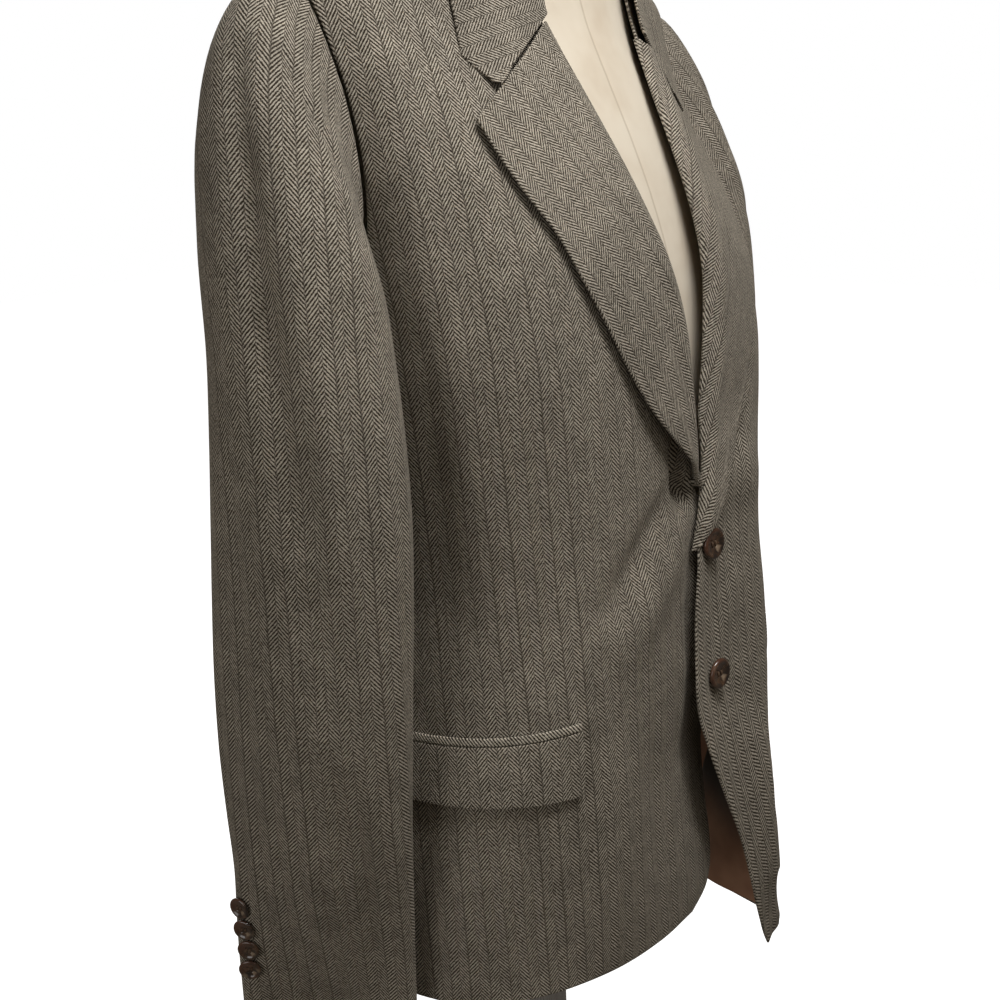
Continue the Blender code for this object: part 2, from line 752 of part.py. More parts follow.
def fall_line(station):
    """The collar's fall at a station, from the crease over and down to its outer edge."""
    crease, edge = collar_crease(station), collar_edge(station)
    away = Vector((edge.x - crease.x, edge.y - crease.y, 0)).normalized()
    over = crease + away * 1.1 + Vector((0, 0, -0.25))
    line = []
    for column in range(COLLAR_COLUMNS + 1):
        share = column / COLLAR_COLUMNS
        rest = 1 - share
        point = crease * rest**2 + over * 2 * rest * share + edge * share**2
        line.append(cleared(point, CLOTH + 0.12))
    return line


def gorge_line():
    """The collar's front end: along the gorge seam to the notch, then out to its corner."""
    line = []
    for column in range(COLLAR_COLUMNS + 1):
        across = column / COLLAR_COLUMNS
        start = GORGE_INNER[0] + ROLL[-1][0], GORGE_INNER[1]
        x, drop = top_edge(across, start, NOTCH_INNER, COLLAR_CORNER)
        out = ROLL[-1][1] + (0.28 - ROLL[-1][1]) * across + 0.1 * math.sin(math.pi * across)
        point = front_point("left", x, drop - GORGE_GAP, out)
        line.append(point)
    return line


def mirrored(line):
    return [Vector((-point.x, point.y, point.z)) for point in line]


def collar(group):
    """The collar's fall, in one piece round the neck, and the stand inside it."""
    stations = [1 + k / 2 for k in range(15)]
    half = [gorge_line()] + [fall_line(station) for station in stations]
    grid = half[:-1] + [half[-1]] + [mirrored(line) for line in reversed(half[:-1])]
    cloth("collar", grid, group)

    half = [stand_line(station) for station in stations[2:]]
    grid = half[:-1] + [half[-1]] + [mirrored(line) for line in reversed(half[:-1])]
    cloth("collar_stand", grid, group, thickness=0.15)


def stand_line(station):
    """The stand at a station, from just inside the crease down to the neck seam."""
    crease = collar_crease(station)
    inward = Vector((-crease.x, -crease.y, 0)).normalized()
    top = crease + inward * (CLOTH + 0.05) + Vector((0, 0, 0.15))
    foot_drop = COLLAR_FOOT.at("drop", station)
    foot = Vector((COLLAR_FOOT.at("x", station), COLLAR_FOOT.at("y", station), foot_drop))
    line = []
    for column in range(STAND_COLUMNS + 1):
        line.append(top + (foot - top) * (column / STAND_COLUMNS))
    return line


# Where the stand meets the neck edge of the fronts and the back, held just inside it.
COLLAR_FOOT = Table(
    "station x y drop",
    (
        (2.0, 6.6, -4.7, 2.4),
        (3.0, 6.95, -3.2, 0.8),
        (4.0, 7.15, -0.5, -0.12),
        (5.0, 6.75, 2.8, 0.2),
        (6.0, 5.3, 5.2, 0.9),
        (7.0, 2.9, 6.75, 1.5),
        (8.0, 0.0, 7.3, 1.75),
    ),
)


# --- Pockets -------------------------------------------------------------------------------------


def along_front(start_x, drop, distance):
    """The angle that lies a distance round the section from a place on the front."""
    turn = turn_at(start_x, drop)
    steps = 24
    for _ in range(steps):
        turn = moved_turn(turn, drop, 1, distance / steps)
    return turn


def pocket(side_name, group):
    """A jetted pocket with a flap: the jetting above the mouth, and the flap out of it."""
    side = SIDES[side_name]
    columns, rows = 8, 4
    strips = {
        "pocket_jetting": (0.0, JETTING_WIDTH, 0.3, 0.3),
        "pocket_flap": (JETTING_WIDTH + 0.05, JETTING_WIDTH + FLAP_DEPTH, 0.3, 0.42),
    }
    for piece, (top, bottom, lift_top, lift_bottom) in strips.items():
        count = rows if piece == "pocket_flap" else 1
        grid = []
        for row in range(count + 1):
            share = row / count
            drop = POCKET_DROP + top + (bottom - top) * share
            trim = 0.35 * max(0.0, share - 0.8) / 0.2 if count > 1 else 0.0
            line = []
            for column in range(columns + 1):
                distance = trim + (FLAP_LENGTH - 2 * trim) * column / columns
                turn = along_front(POCKET_FRONT_X, drop, distance)
                x = abs(section(turn, drop, 1).x)
                stand = front_stand(side_name, x, drop)
                lift = lift_top + (lift_bottom - lift_top) * share
                line.append(laid(turn, drop, side, stand + lift))
            grid.append(line)
        cloth(f"{piece}_{side_name}", grid, group, flip=side > 0)


# --- Buttons -------------------------------------------------------------------------------------


def button(name, centre, normal, radius, group):
    """A turned horn button: a dished face inside a round rim, on a short shank of thread's height."""
    thick = radius * 0.36
    profile = (
        (0.0, thick * 0.62),
        (radius * 0.55, thick * 0.66),
        (radius * 0.74, thick * 0.98),
        (radius * 0.88, thick),
        (radius, thick * 0.7),
        (radius * 0.96, thick * 0.3),
        (radius * 0.6, 0.0),
        (0.0, 0.0),
    )
    mesh = bpy.data.meshes.new(name)
    points = [(along * CM, 0.0, up * CM) for along, up in profile]
    mesh.from_pydata(points, [(i, i + 1) for i in range(len(points) - 1)], [])
    made = new_object(name, mesh, "horn", group)
    turned = made.modifiers.new("turned", "SCREW")
    turned.steps = turned.render_steps = 24
    turned.use_merge_vertices = True
    turned.merge_threshold = 0.0001
    made.location = centre
    made.rotation_mode = "QUATERNION"
    made.rotation_quaternion = normal.to_track_quat("Z", "Y")
    return made


def direction(turn, drop, side):
    """The way out of the body at a place, in the world's axes."""
    out = outward(turn, drop, side)
    return Vector((out.x, out.y, -out.z)).normalized()


def front_buttons(group):
    """Two buttons in the middle of the front, through the left front's edge."""
    for number, drop in enumerate(BUTTON_DROPS, start=1):
        normal = direction(0.0, drop, 1)
        normal.rotate(Matrix.Rotation(math.radians(-BUTTON_LEAN), 3, "Z"))
        centre = place(front_point("left", FRONT_BUTTON_X, drop, BUTTON_LIFT))
        button(f"front_button_{number}", centre, normal, BUTTON_RADIUS, group)


def cuff_buttons(group):
    """Four buttons in a row near the back edge of each cuff's outer face."""
    near_step = -3.45
    for side_name, side in SIDES.items():
        for number, drop in enumerate(CUFF_BUTTON_DROPS, start=1):
            here = place(sleeve_section(near_step, drop, side))
            along = place(sleeve_section(near_step + 0.4, drop, side)) - here
            down = place(sleeve_section(near_step, drop + 0.5, side)) - here
            normal = along.cross(down).normalized()
            middle = place((side * SLEEVE.at("x", drop), SLEEVE.at("y", drop), drop))
            if normal.dot(here - middle) < 0:
                normal.negate()
            centre = here + normal * CUFF_BUTTON_LIFT * CM
            button(f"cuff_button_{side_name}_{number}", centre, normal, CUFF_BUTTON_RADIUS, group)


# --- Dress form and stand ------------------------------------------------------------------------


def form_torso(group):
    """The padded torso, closed at the neck and underneath."""
    shape = bmesh.new()
    rings = []
    for drop in FORM_DROPS:
        ring = []
        for column in range(FORM_COLUMNS):
            turn = 360 * column / FORM_COLUMNS
            side, turn = (1, turn) if turn <= 180 else (-1, 360 - turn)
            ring.append(shape.verts.new(place(section(turn, drop, side, FORM), FORM_LEVEL_DROP)))
        rings.append(ring)
    for upper, lower in zip(rings, rings[1:]):
        for i in range(FORM_COLUMNS):
            j = (i + 1) % FORM_COLUMNS
            shape.faces.new((upper[i], lower[i], lower[j], upper[j]))
    shape.faces.new(rings[0])
    shape.faces.new(rings[-1][::-1])
    bmesh.ops.recalc_face_normals(shape, faces=shape.faces)
    mesh = bpy.data.meshes.new("form_torso")
    shape.to_mesh(mesh)
    shape.free()
    new_object("form_torso", mesh, "form_cover", group)


def turned_piece(name, profile, finish, group, steps=48):
    """A turned piece on the stand's axis, from (radius, height) pairs in centimetres, top first."""
    mesh = bpy.data.meshes.new(name)
    points = [(radius * CM, 0.0, height * CM) for radius, height in profile]
    mesh.from_pydata(points, [(i, i + 1) for i in range(len(points) - 1)], [])
    made = new_object(name, mesh, finish, group)
    turned = made.modifiers.new("turned", "SCREW")
    turned.steps = turned.render_steps = steps
    turned.use_merge_vertices = True
    turned.merge_threshold = 0.0001
    return made


def form_stand(group):
    """The turned neck cap, the steel pole, its socket under the torso and the round wooden base."""
    neck_top = NECK_POINT_HEIGHT + FORM_NECK_TOP
    torso_bottom = NECK_POINT_HEIGHT - FORM_BOTTOM_DROP
    gap = 0.03
    cap = ((0, 3.6), (0.9, 3.4), (1.3, 2.7), (1.0, 2.1), (1.6, 1.7), (4.4, 1.1), (5.2, 0.55), (5.2, 0.2), (4.9, 0), (0, 0))
    turned_piece("form_neck_cap", [(r, neck_top + gap + h) for r, h in cap], "wood", group, 32)
    socket = ((0, 0), (3.2, 0), (3.2, -1.2), (2.4, -1.8), (2.4, -4.0), (0, -4.0))
    turned_piece("form_socket", [(r, torso_bottom - gap + h) for r, h in socket], "steel", group, 32)
    pole_top = torso_bottom - gap - 4.0 - gap
    pole_foot = BASE_THICKNESS + 2.2 + gap
    pole = ((0, pole_top), (POLE_RADIUS, pole_top), (POLE_RADIUS, pole_foot), (0, pole_foot))
    turned_piece("form_pole", pole, "steel", group, 24)
    boss = 3.4
    base = (
        (0, BASE_THICKNESS + 2.2),
        (boss - 0.4, BASE_THICKNESS + 2.2),
        (boss, BASE_THICKNESS + 1.8),
        (boss, BASE_THICKNESS + 0.5),
        (boss + 1.2, BASE_THICKNESS),
        (BASE_RADIUS - 1.6, BASE_THICKNESS - 0.7),
        (BASE_RADIUS - 0.4, BASE_THICKNESS - 1.1),
        (BASE_RADIUS, BASE_THICKNESS - 1.7),
        (BASE_RADIUS, 0.4),
        (BASE_RADIUS - 0.4, 0),
        (0, 0),
    )
    turned_piece("form_base", base, "wood", group, 64)


def build():
    clear_scene()
    group = collection("tweed_jacket_on_dress_form")
    for side_name in SIDES:
        front_grid = front(side_name, group)
        if side_name == "left":
            skirt_lining(front_grid, group)
        side_panel(side_name, group)
        back(side_name, group)
        lapel(side_name, group)
        pocket(side_name, group)
    sleeves(group)
    collar(group)
    front_buttons(group)
    cuff_buttons(group)
    form_torso(group)
    form_stand(group)


build()
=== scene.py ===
"""The looks of a herringbone tweed jacket on its dress form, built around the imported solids.

Every length is in metres unless its name says otherwise. The jacket faces -Y, its wearer's right is
-X, and the floor is at Z = 0. Cloth pieces are read from the frame as grids of points, smoothed,
creased and closed into thin shells whose cloth coordinates follow the grain.
"""

import math

import bmesh
import bpy
import numpy as np
from mathutils import Matrix, Vector
from mathutils.bvhtree import BVHTree


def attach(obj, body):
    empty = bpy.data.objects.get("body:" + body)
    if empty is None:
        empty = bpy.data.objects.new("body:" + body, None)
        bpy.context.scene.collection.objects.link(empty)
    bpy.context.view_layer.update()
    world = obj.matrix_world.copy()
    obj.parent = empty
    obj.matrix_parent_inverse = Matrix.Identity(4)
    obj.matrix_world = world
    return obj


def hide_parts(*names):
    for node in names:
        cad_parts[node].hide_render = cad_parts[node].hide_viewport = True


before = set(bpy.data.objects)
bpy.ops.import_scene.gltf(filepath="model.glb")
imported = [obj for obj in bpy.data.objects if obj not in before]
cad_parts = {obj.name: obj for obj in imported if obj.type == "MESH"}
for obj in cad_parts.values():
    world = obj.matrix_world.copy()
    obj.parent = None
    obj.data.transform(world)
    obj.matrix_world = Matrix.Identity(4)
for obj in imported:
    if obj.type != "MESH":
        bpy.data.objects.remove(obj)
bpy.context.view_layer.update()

# --- The view ------------------------------------------------------------------------------------
# A camera on a stand, level with the chest and to the jacket's right front, tipped a little down
# and leaning by a degree or two, with the jacket filling the picture from the shoulder to the hem.

CAMERA_PLACE = Vector((-0.8429, -0.5902, 1.342))
CAMERA_HEADING = math.radians(53.84)
CAMERA_PITCH = math.radians(17.2)
CAMERA_ROLL = math.radians(-2.55)
SENSOR_WIDTH_MM = 36.0
LENS_MM = 52.2

camera_data = bpy.data.cameras.new("camera")
camera_data.sensor_width = SENSOR_WIDTH_MM
camera_data.lens = LENS_MM
camera = bpy.data.objects.new("camera", camera_data)
bpy.context.scene.collection.objects.link(camera)
camera.matrix_world = (
    Matrix.Translation(CAMERA_PLACE)
    @ Matrix.Rotation(-CAMERA_HEADING, 4, "Z")
    @ Matrix.Rotation(math.pi / 2 - CAMERA_PITCH, 4, "X")
    @ Matrix.Rotation(CAMERA_ROLL, 4, "Z")
)
bpy.context.scene.camera = camera
bpy.context.scene.view_settings.view_transform = "Standard"

# --- The studio ----------------------------------------------------------------------------------
# A white paper sweep in a pale room, lit from above by two lamps, softly from the side and the
# front, and from behind. None of it belongs to the jacket.

SWEEP_SIZE = 14.0
PAPER = (0.86, 0.86, 0.86, 1.0)
PAPER_GLOW = 1.0
ROOM_LIGHT = 0.115
ROOM_COLOUR = (1.0, 0.88, 0.72, 1.0)
WHITE = (1.0, 1.0, 1.0, 1.0)
LIT_MIDDLE = Vector((0, 0, 1.15))


def add_node(tree, kind, **settings):
    """A shader node with its settings made; a socket is set by a two-part key such as in_Scale."""
    node = tree.nodes.new(kind)
    for key, value in settings.items():
        if key.startswith("in_"):
            node.inputs[key[3:].replace("_", " ")].default_value = value
        else:
            setattr(node, key, value)
    return node


def feed(node, socket, value):
    """Gives a node's socket a number or a colour, or links another node's socket into it."""
    if isinstance(value, (int, float, tuple)):
        node.inputs[socket].default_value = value
    else:
        node.id_data.links.new(value, node.inputs[socket])
    return node


def new_material(name, colour, roughness, **constants):
    """A material with a Principled shader; constants are set on the shader's own sockets."""
    made = bpy.data.materials.new(name)
    made.use_nodes = True
    shader = made.node_tree.nodes["Principled BSDF"]
    shader.inputs["Base Color"].default_value = colour
    shader.inputs["Roughness"].default_value = roughness
    for key, value in constants.items():
        shader.inputs[key.replace("_", " ")].default_value = value
    return made, shader


def put_in_scene(name, data):
    made = bpy.data.objects.new(name, data)
    bpy.context.scene.collection.objects.link(made)
    return made


floor_mesh = bpy.data.meshes.new("floor")
half = SWEEP_SIZE / 2
floor_mesh.from_pydata(
    [(-half, -half, 0), (half, -half, 0), (half, half, 0), (-half, half, 0)], [], [(0, 1, 2, 3)]
)
floor = put_in_scene("floor", floor_mesh)
paper, paper_shader = new_material(
    "paper", PAPER, 0.9, Emission_Color=WHITE, Emission_Strength=PAPER_GLOW
)
grain = add_node(paper_shader.id_data, "ShaderNodeTexNoise", in_Scale=3.0, in_Detail=2.0)
tone = add_node(paper_shader.id_data, "ShaderNodeMapRange", in_To_Min=0.85, in_To_Max=0.95)
feed(tone, "Value", grain.outputs["Fac"])
feed(paper_shader, "Roughness", tone.outputs["Result"])
floor_mesh.materials.append(paper)
floor.visible_diffuse = False
floor.visible_glossy = False

room = bpy.data.worlds.new("room")
room.use_nodes = True
wall = room.node_tree.nodes["Background"]
seen = add_node(room.node_tree, "ShaderNodeLightPath").outputs["Is Camera Ray"]
glow = add_node(room.node_tree, "ShaderNodeMix", data_type="RGBA")
for socket, value in ((0, seen), (6, ROOM_COLOUR), (7, WHITE)):
    feed(glow, socket, value)
strength = add_node(room.node_tree, "ShaderNodeMapRange", in_To_Min=ROOM_LIGHT, in_To_Max=1.0)
feed(strength, "Value", seen)
feed(wall, "Color", glow.outputs[2])
feed(wall, "Strength", strength.outputs["Result"])
bpy.context.scene.world = room

for name, place, size, power in (
    ("key_light", (-0.2, -0.5, 2.15), 0.4, 10.2),
    ("front_light", (0.15, -0.95, 1.95), 0.4, 2.8),
    ("fill_light", (-0.5, -0.7, 1.42), 0.25, 0.26),
    ("side_light", (-2.2, 0.12, 1.35), 1.2, 9.8),
    ("back_light", (1.6, 2.6, 2.4), 1.6, 20.0),
):
    light = bpy.data.lights.new(name, "AREA")
    light.shape = "SQUARE"
    light.size = size
    light.energy = power
    lamp = put_in_scene(name, light)
    lamp.location = place
    lamp.rotation_euler = (LIT_MIDDLE - lamp.location).to_track_quat("-Z", "Y").to_euler()

# --- Fronts --------------------------------------------------------------------------------------
# Two fronts of 2 mm herringbone tweed, cut with the grain straight down and rounded away at the
# hem. Each is sewn to its side panel and to the back's shoulder, and turned in along its edge.

CLOTH = 0.002
CELL = 0.0045
TURNED_EDGE = 0.0011
SEAM_SINK = 0.0007
SEAM_REACH = 0.003
WELD = 1e-5
STRUT_SLACK = 6e-7

COLUMN_WIDTH = 0.0067
TWILL_PITCH = 0.0027
TWILL_SLOPE = 1.2
LEANING_PITCH = 0.0030
LEANING_SLOPE = 0.75
LIGHT_YARN = (0.46, 0.41, 0.335, 1.0)
DARK_YARN = (0.04, 0.031, 0.021, 1.0)
RUST_YARN = (0.30, 0.17, 0.07, 1.0)
YARN_WANDER = (0.0016, 0.0024, 0.0)
BAND_STRETCH = (1.0, 0.02, 0.0)


def solid_shape(node):
    """A solid's mesh with its doubled corners welded, to be walked over."""
    shape = bmesh.new()
    shape.from_mesh(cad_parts[node].data)
    bmesh.ops.remove_doubles(shape, verts=shape.verts, dist=WELD)
    shape.normal_update()
    return shape


def outer_faces(shape, thickness, axis, outer):
    """The faces of a wall's outer (or inner) side: those off its rim, facing away from the axis."""
    rim = set()
    for edge in shape.edges:
        if abs(edge.calc_length() - thickness) < STRUT_SLACK:
            rim.update(edge.link_faces)
    sides, seen = [], set(rim)
    for face in shape.faces:
        if face in seen:
            continue
        side, todo = [], [face]
        seen.add(face)
        while todo:
            here = todo.pop()
            side.append(here)
            near = {other for edge in here.edges for other in edge.link_faces} - seen
            seen |= near
            todo += near
        sides.append(side)
    sides = sorted(sides, key=len)[-2:]
    middle = Vector((axis[0], axis[1], 0))

    def facing_out(side):
        return sum(f.calc_area() * f.normal.xy.dot((f.calc_center_median() - middle).xy) for f in side)

    return set(max(sides, key=facing_out) if outer else min(sides, key=facing_out))


def third_corner(faces, used, pair):
    """The last corner of the only unused face that has both of the pair's corners, or None."""
    found = [f for f in pair[0].link_faces if f in faces and f not in used and pair[1] in f.verts]
    if len(found) != 1:
        return None
    used.add(found[0])
    return next(v for v in found[0].verts if v not in pair)


def walk(faces, ring, columns):
    """The grid of corners whose first row and first column run along the ring from its start."""
    rows = len(ring) // 2 + 2 - columns
    grid, used = [ring[:columns]], set()
    for row in range(1, rows):
        line = [ring[-row]]
        for above_left, above in zip(grid[-1], grid[-1][1:]):
            corner = third_corner(faces, used, (above_left, above))
            if corner is line[-1]:
                corner = third_corner(faces, used, (above, line[-1]))
            elif corner is not None:
                if third_corner(faces, used, (above_left, corner)) is not line[-1]:
                    return None
            if corner is None:
                return None
            line.append(corner)
        grid.append(line)
    return grid if len(used) == len(faces) else None


def cloth_grid(node, columns, corner, axis=(0.0, 0.0), outer=True, thickness=CLOTH):
    """A cloth solid's points as rows and columns, read off its outer side, from a given corner."""
    shape = solid_shape(node)
    faces = outer_faces(shape, thickness, axis, outer)
    following = {}
    for face in faces:
        for loop in face.loops:
            if not any(other in faces and other is not face for other in loop.edge.link_faces):
                following[loop.vert] = loop.link_loop_next.vert
    toward = Vector(corner)
    for start in sorted(following, key=lambda v: -v.co.dot(toward)):
        ring = [start]
        while following[ring[-1]] is not start and len(ring) <= len(following):
            ring.append(following[ring[-1]])
        for loop in (ring, [ring[0]] + ring[:0:-1]):
            grid = walk(faces, loop, columns)
            if grid is not None:
                points = np.array([[tuple(v.co) for v in line] for line in grid])
                shape.free()
                return points
    raise ValueError(f"{node} isn't a grid of {columns} columns")


def spaced(points):
    """Distances along the first axis of a grid, averaged over the second."""
    steps = np.linalg.norm(np.diff(points[:, :, :3], axis=0), axis=2).mean(axis=1)
    return np.concatenate(([0.0], np.cumsum(np.maximum(steps, 1e-6))))


def stations(length, cell):
    """Places along a length: a few close to each end, and even ones between."""
    count = max(int(round(length / cell)), 2)
    close = np.array([0.0, 0.25, 0.6, 1.0]) * TURNED_EDGE
    inner = np.linspace(SEAM_REACH, length - SEAM_REACH, count) if length > 3 * SEAM_REACH else []
    return np.concatenate((close, inner, length - close[::-1]))


def along_curve(points, knots, places):
    """Points on smooth curves through a grid's first axis."""
    slopes = np.gradient(points, knots, axis=0)
    i = np.clip(np.searchsorted(knots, places, side="right") - 1, 0, len(knots) - 2)
    step = (knots[i + 1] - knots[i])[:, None, None]
    share = ((places - knots[i])[:, None, None]) / step
    return (
        points[i] * (1 + 2 * share) * (1 - share) ** 2
        + slopes[i] * step * share * (1 - share) ** 2
        + points[i + 1] * share**2 * (3 - 2 * share)
        + slopes[i + 1] * step * share**2 * (share - 1)
    )


def smoothed(points, cell=CELL):
    """The grid, made fine and smooth both ways."""
    down = spaced(points)
    points = along_curve(points, down, stations(down[-1], cell))
    across = points.transpose(1, 0, 2)
    over = spaced(across)
    return along_curve(across, over, stations(over[-1], cell)).transpose(1, 0, 2)


def evened(points, cell):
    """The grid with even steps both ways, of about the cell's size."""
    for _ in range(2):
        knots = spaced(points)
        points = along_curve(points, knots, np.linspace(0, knots[-1], max(int(knots[-1] / cell), 3)))
        points = points.transpose(1, 0, 2)
    return points


LAYING_CELL = 0.012
LAYING_STEPS = 500
LAYING_LEVEL = 0.55
LAYING_RATE = 0.1
LAYING_SWING = 0.9
GRAIN_FROM, GRAIN_TO = 0.35, 0.85


def laid_flat(points, grain):
    """A grid's places when it is laid flat with its lengths kept, as columns across and down.

    grain is the share of the width at which the grain runs straight down."""
    across, down = flat_cloth(points)
    column = int(round(grain * (points.shape[1] - 1)))
    across = across - across[:, column][:, None]
    flat = np.stack((across, along_grain(across, down, int(len(points) * LAYING_LEVEL))), axis=2)
    links = []
    for span in (1, 2):
        whole, after, before = slice(None), slice(span, None), slice(None, -span)
        links += [
            ((after, whole), (before, whole)),
            ((whole, after), (whole, before)),
            ((after, after), (before, before)),
            ((after, before), (before, after)),
        ]
    lengths = [np.linalg.norm(points[a] - points[b], axis=2) for a, b in links]
    speed = np.zeros_like(flat)
    for _ in range(LAYING_STEPS):
        push = np.zeros_like(flat)
        for (a, b), length in zip(links, lengths):
            gap = flat[a] - flat[b]
            now = np.maximum(np.linalg.norm(gap, axis=2), 1e-9)
            move = gap * (0.5 * (length / now - 1))[:, :, None]
            push[a] += move
            push[b] -= move
        speed = LAYING_SWING * speed + LAYING_RATE * push
        flat = flat + speed
    top, foot = (flat[int(len(flat) * share), column] for share in (GRAIN_FROM, GRAIN_TO))
    turn = math.atan2(foot[0] - top[0], foot[1] - top[1])
    rotation = np.array(((math.cos(turn), -math.sin(turn)), (math.sin(turn), math.cos(turn))))
    return (flat - top) @ rotation.T


def cut_cloth(grid, cell, grain=0.5, laying=LAYING_CELL):
    """A fine smooth grid from a solid's own, and its cloth coordinates across and down."""
    coarse = evened(grid, laying)
    fine = smoothed(np.concatenate((coarse, laid_flat(coarse, grain)), axis=2), cell)
    return fine[:, :, :3], fine[:, :, 3], fine[:, :, 4]


def flat_cloth(points):
    """Distances along each row and each column of a grid, from its first column and row."""
    across = np.linalg.norm(np.diff(points, axis=1), axis=2)
    down = np.linalg.norm(np.diff(points, axis=0), axis=2)
    return (
        np.concatenate((np.zeros((len(points), 1)), np.cumsum(across, axis=1)), axis=1),
        np.concatenate((np.zeros((1, points.shape[1])), np.cumsum(down, axis=0))),
    )


def along_grain(across, down, level_row):
    """Distances down the grain: the columns' own lengths less what they drift sideways."""
    moved = np.diff(down, axis=0)
    drift = np.diff(across, axis=0)
    fall = np.sqrt(np.maximum(moved**2 - drift**2, (0.4 * moved) ** 2))
    fall = np.concatenate((np.zeros((1, down.shape[1])), np.cumsum(fall, axis=0)))
    return fall - fall[level_row]


def grid_normals(points):
    across = np.gradient(points, axis=1)
    down = np.gradient(points, axis=0)
    normal = np.cross(down, across)
    return normal / np.maximum(np.linalg.norm(normal, axis=2, keepdims=True), 1e-12)


FOLD_COLUMNS = "across down to_across to_down width depth"


def fold_height(across, down, folds):
    """The height of the folds at each place: soft ridges, or troughs where depth is negative."""
    height = np.zeros_like(across)
    for row in folds:
        fold = dict(zip(FOLD_COLUMNS.split(), (value / 100 for value in row)))
        run = np.array([fold["to_across"] - fold["across"], fold["to_down"] - fold["down"]])
        length = np.hypot(*run)
        run /= length
        x, y = across - fold["across"], down - fold["down"]
        along = (x * run[0] + y * run[1]) / length
        beside = -x * run[1] + y * run[0]
        inside = np.clip(along, 0, 1)
        past = (along - inside) * length
        taper = np.sin(np.pi * np.clip(along * 0.86 + 0.07, 0, 1)) ** 0.8
        spread = fold["width"] * (0.75 + 0.5 * inside)
        height += fold["depth"] * taper * np.exp(-((beside**2 + past**2) / spread**2))
    return height


def edge_distance(points):
    """How far each point is from the four edges of its grid, in the order top, end, foot, start."""
    across, down = flat_cloth(points)
    return down, across[:, -1:] - across, down[-1:] - down, across


def grid_quads(index):
    """The four-cornered faces of a grid, from its points' numbers."""
    corners = (index[:-1, :-1], index[1:, :-1], index[1:, 1:], index[:-1, 1:])
    return np.stack(corners, axis=2).reshape(-1, 4)


def lay_map(mesh, places):
    """Writes each point's place on the cloth, across and down, as the mesh's cloth coordinates."""
    corners = np.empty(len(mesh.loops), np.int32)
    mesh.loops.foreach_get("vertex_index", corners)
    cloth = mesh.uv_layers.new(name="Cloth")
    cloth.data.foreach_set("uv", places[corners].ravel().astype(np.float32))


def shade_smooth(mesh):
    mesh.polygons.foreach_set("use_smooth", np.ones(len(mesh.polygons), bool))


def shell(name, points, across, down, out, seams="", thickness=CLOTH):
    """A closed thin shell on a grid: rounded where it is turned in, and sunk a little at its seams.

    out is 1 or -1, the way the grid's normals have to be turned to point out of the cloth. seams
    has a letter for each sewn edge: t(op), e(nd), f(oot), s(tart)."""
    normal = grid_normals(points) * out
    sink = np.zeros(points.shape[:2])
    near = np.full(points.shape[:2], np.inf)
    for letter, distance in zip("tefs", edge_distance(points)):
        near = np.minimum(near, distance)
        if letter in seams:
            sink = np.maximum(sink, SEAM_SINK * np.clip(1 - distance / SEAM_REACH, 0, 1) ** 2)
    turn = np.clip(near / TURNED_EDGE, 0, 1)
    inset = thickness / 2 * (1 - np.sqrt(1 - (1 - turn) ** 2)) * 0.85
    face = points - normal * (inset + sink)[:, :, None]
    back = points - normal * (thickness - inset + sink)[:, :, None]

    rows, columns = points.shape[:2]
    count = rows * columns
    index = np.arange(count).reshape(rows, columns)
    quads = grid_quads(index)
    rim = np.concatenate((index[:, 0], index[-1, 1:], index[-2::-1, -1], index[0, -2:0:-1]))
    rim_next = np.roll(rim, -1)
    sides = np.stack((rim_next, rim, rim + count, rim_next + count), axis=1)
    faces = np.concatenate((quads, quads[:, ::-1] + count, sides))
    if out < 0:
        faces = faces[:, ::-1]
    both = np.concatenate((face.reshape(-1, 3), back.reshape(-1, 3)))
    mesh = bpy.data.meshes.new(name)
    mesh.from_pydata(both.tolist(), [], faces.tolist())
    places = np.stack((across.ravel(), down.ravel()), axis=1)
    lay_map(mesh, np.concatenate((places, places)))
    shade_smooth(mesh)
    mesh.validate()
    return put_in_scene(name, mesh)


def facing(points, axis, outer):
    """1 where a grid's normals point out of the side that shows, or -1."""
    normal = grid_normals(points)
    away = points[:, :, :2] - np.array(axis)
    towards = (normal[:, :, :2] * away).sum()
    return (1 if towards > 0 else -1) * (1 if outer else -1)


def risen(points, out, height):
    """A grid moved out of the cloth by a height at each place."""
    return points + grid_normals(points) * out * height[:, :, None]


def folded(points, across, down, folds, axis=(0, 0)):
    """A grid with its folds raised, and the way that points out of its cloth."""
    out = facing(points, axis, True)
    return risen(points, out, fold_height(across, down, folds)), out


BARELY = 0.0004


def ray_tree(piece):
    """A piece's faces, ready to be struck by rays."""
    mesh = piece.data
    return BVHTree.FromPolygons([v.co for v in mesh.vertices], [tuple(f.vertices) for f in mesh.polygons])


def lifted_clear(points, out, carriers, gap=BARELY, reach=0.02, raised=None):
    """Moves a grid out until its inner side is clear of the pieces that carry it."""
    trees = [ray_tree(carrier) for carrier in carriers]
    normal = grid_normals(points) * out
    push = np.zeros(points.shape[:2])
    for row, column in np.ndindex(push.shape):
        way = Vector(normal[row, column])
        here = Vector(points[row, column])
        for tree in trees:
            hit = tree.ray_cast(here + way * reach, -way, 2 * reach)[0]
            if hit is not None:
                extra = 0.0 if raised is None else raised[row, column]
                push[row, column] = max(push[row, column], (hit - here).dot(way) + CLOTH + gap + extra)
    wide = np.pad(push, 2, mode="edge")
    size = push.shape
    spread = [wide[i:i + size[0], j:j + size[1]] for i in range(5) for j in range(5)]
    push = np.maximum(push, np.mean(spread, axis=0))
    return points + normal * push[:, :, None]


def tree_of(*values):
    """The node tree of the first value that is a socket."""
    return next(value.id_data for value in values if hasattr(value, "id_data"))


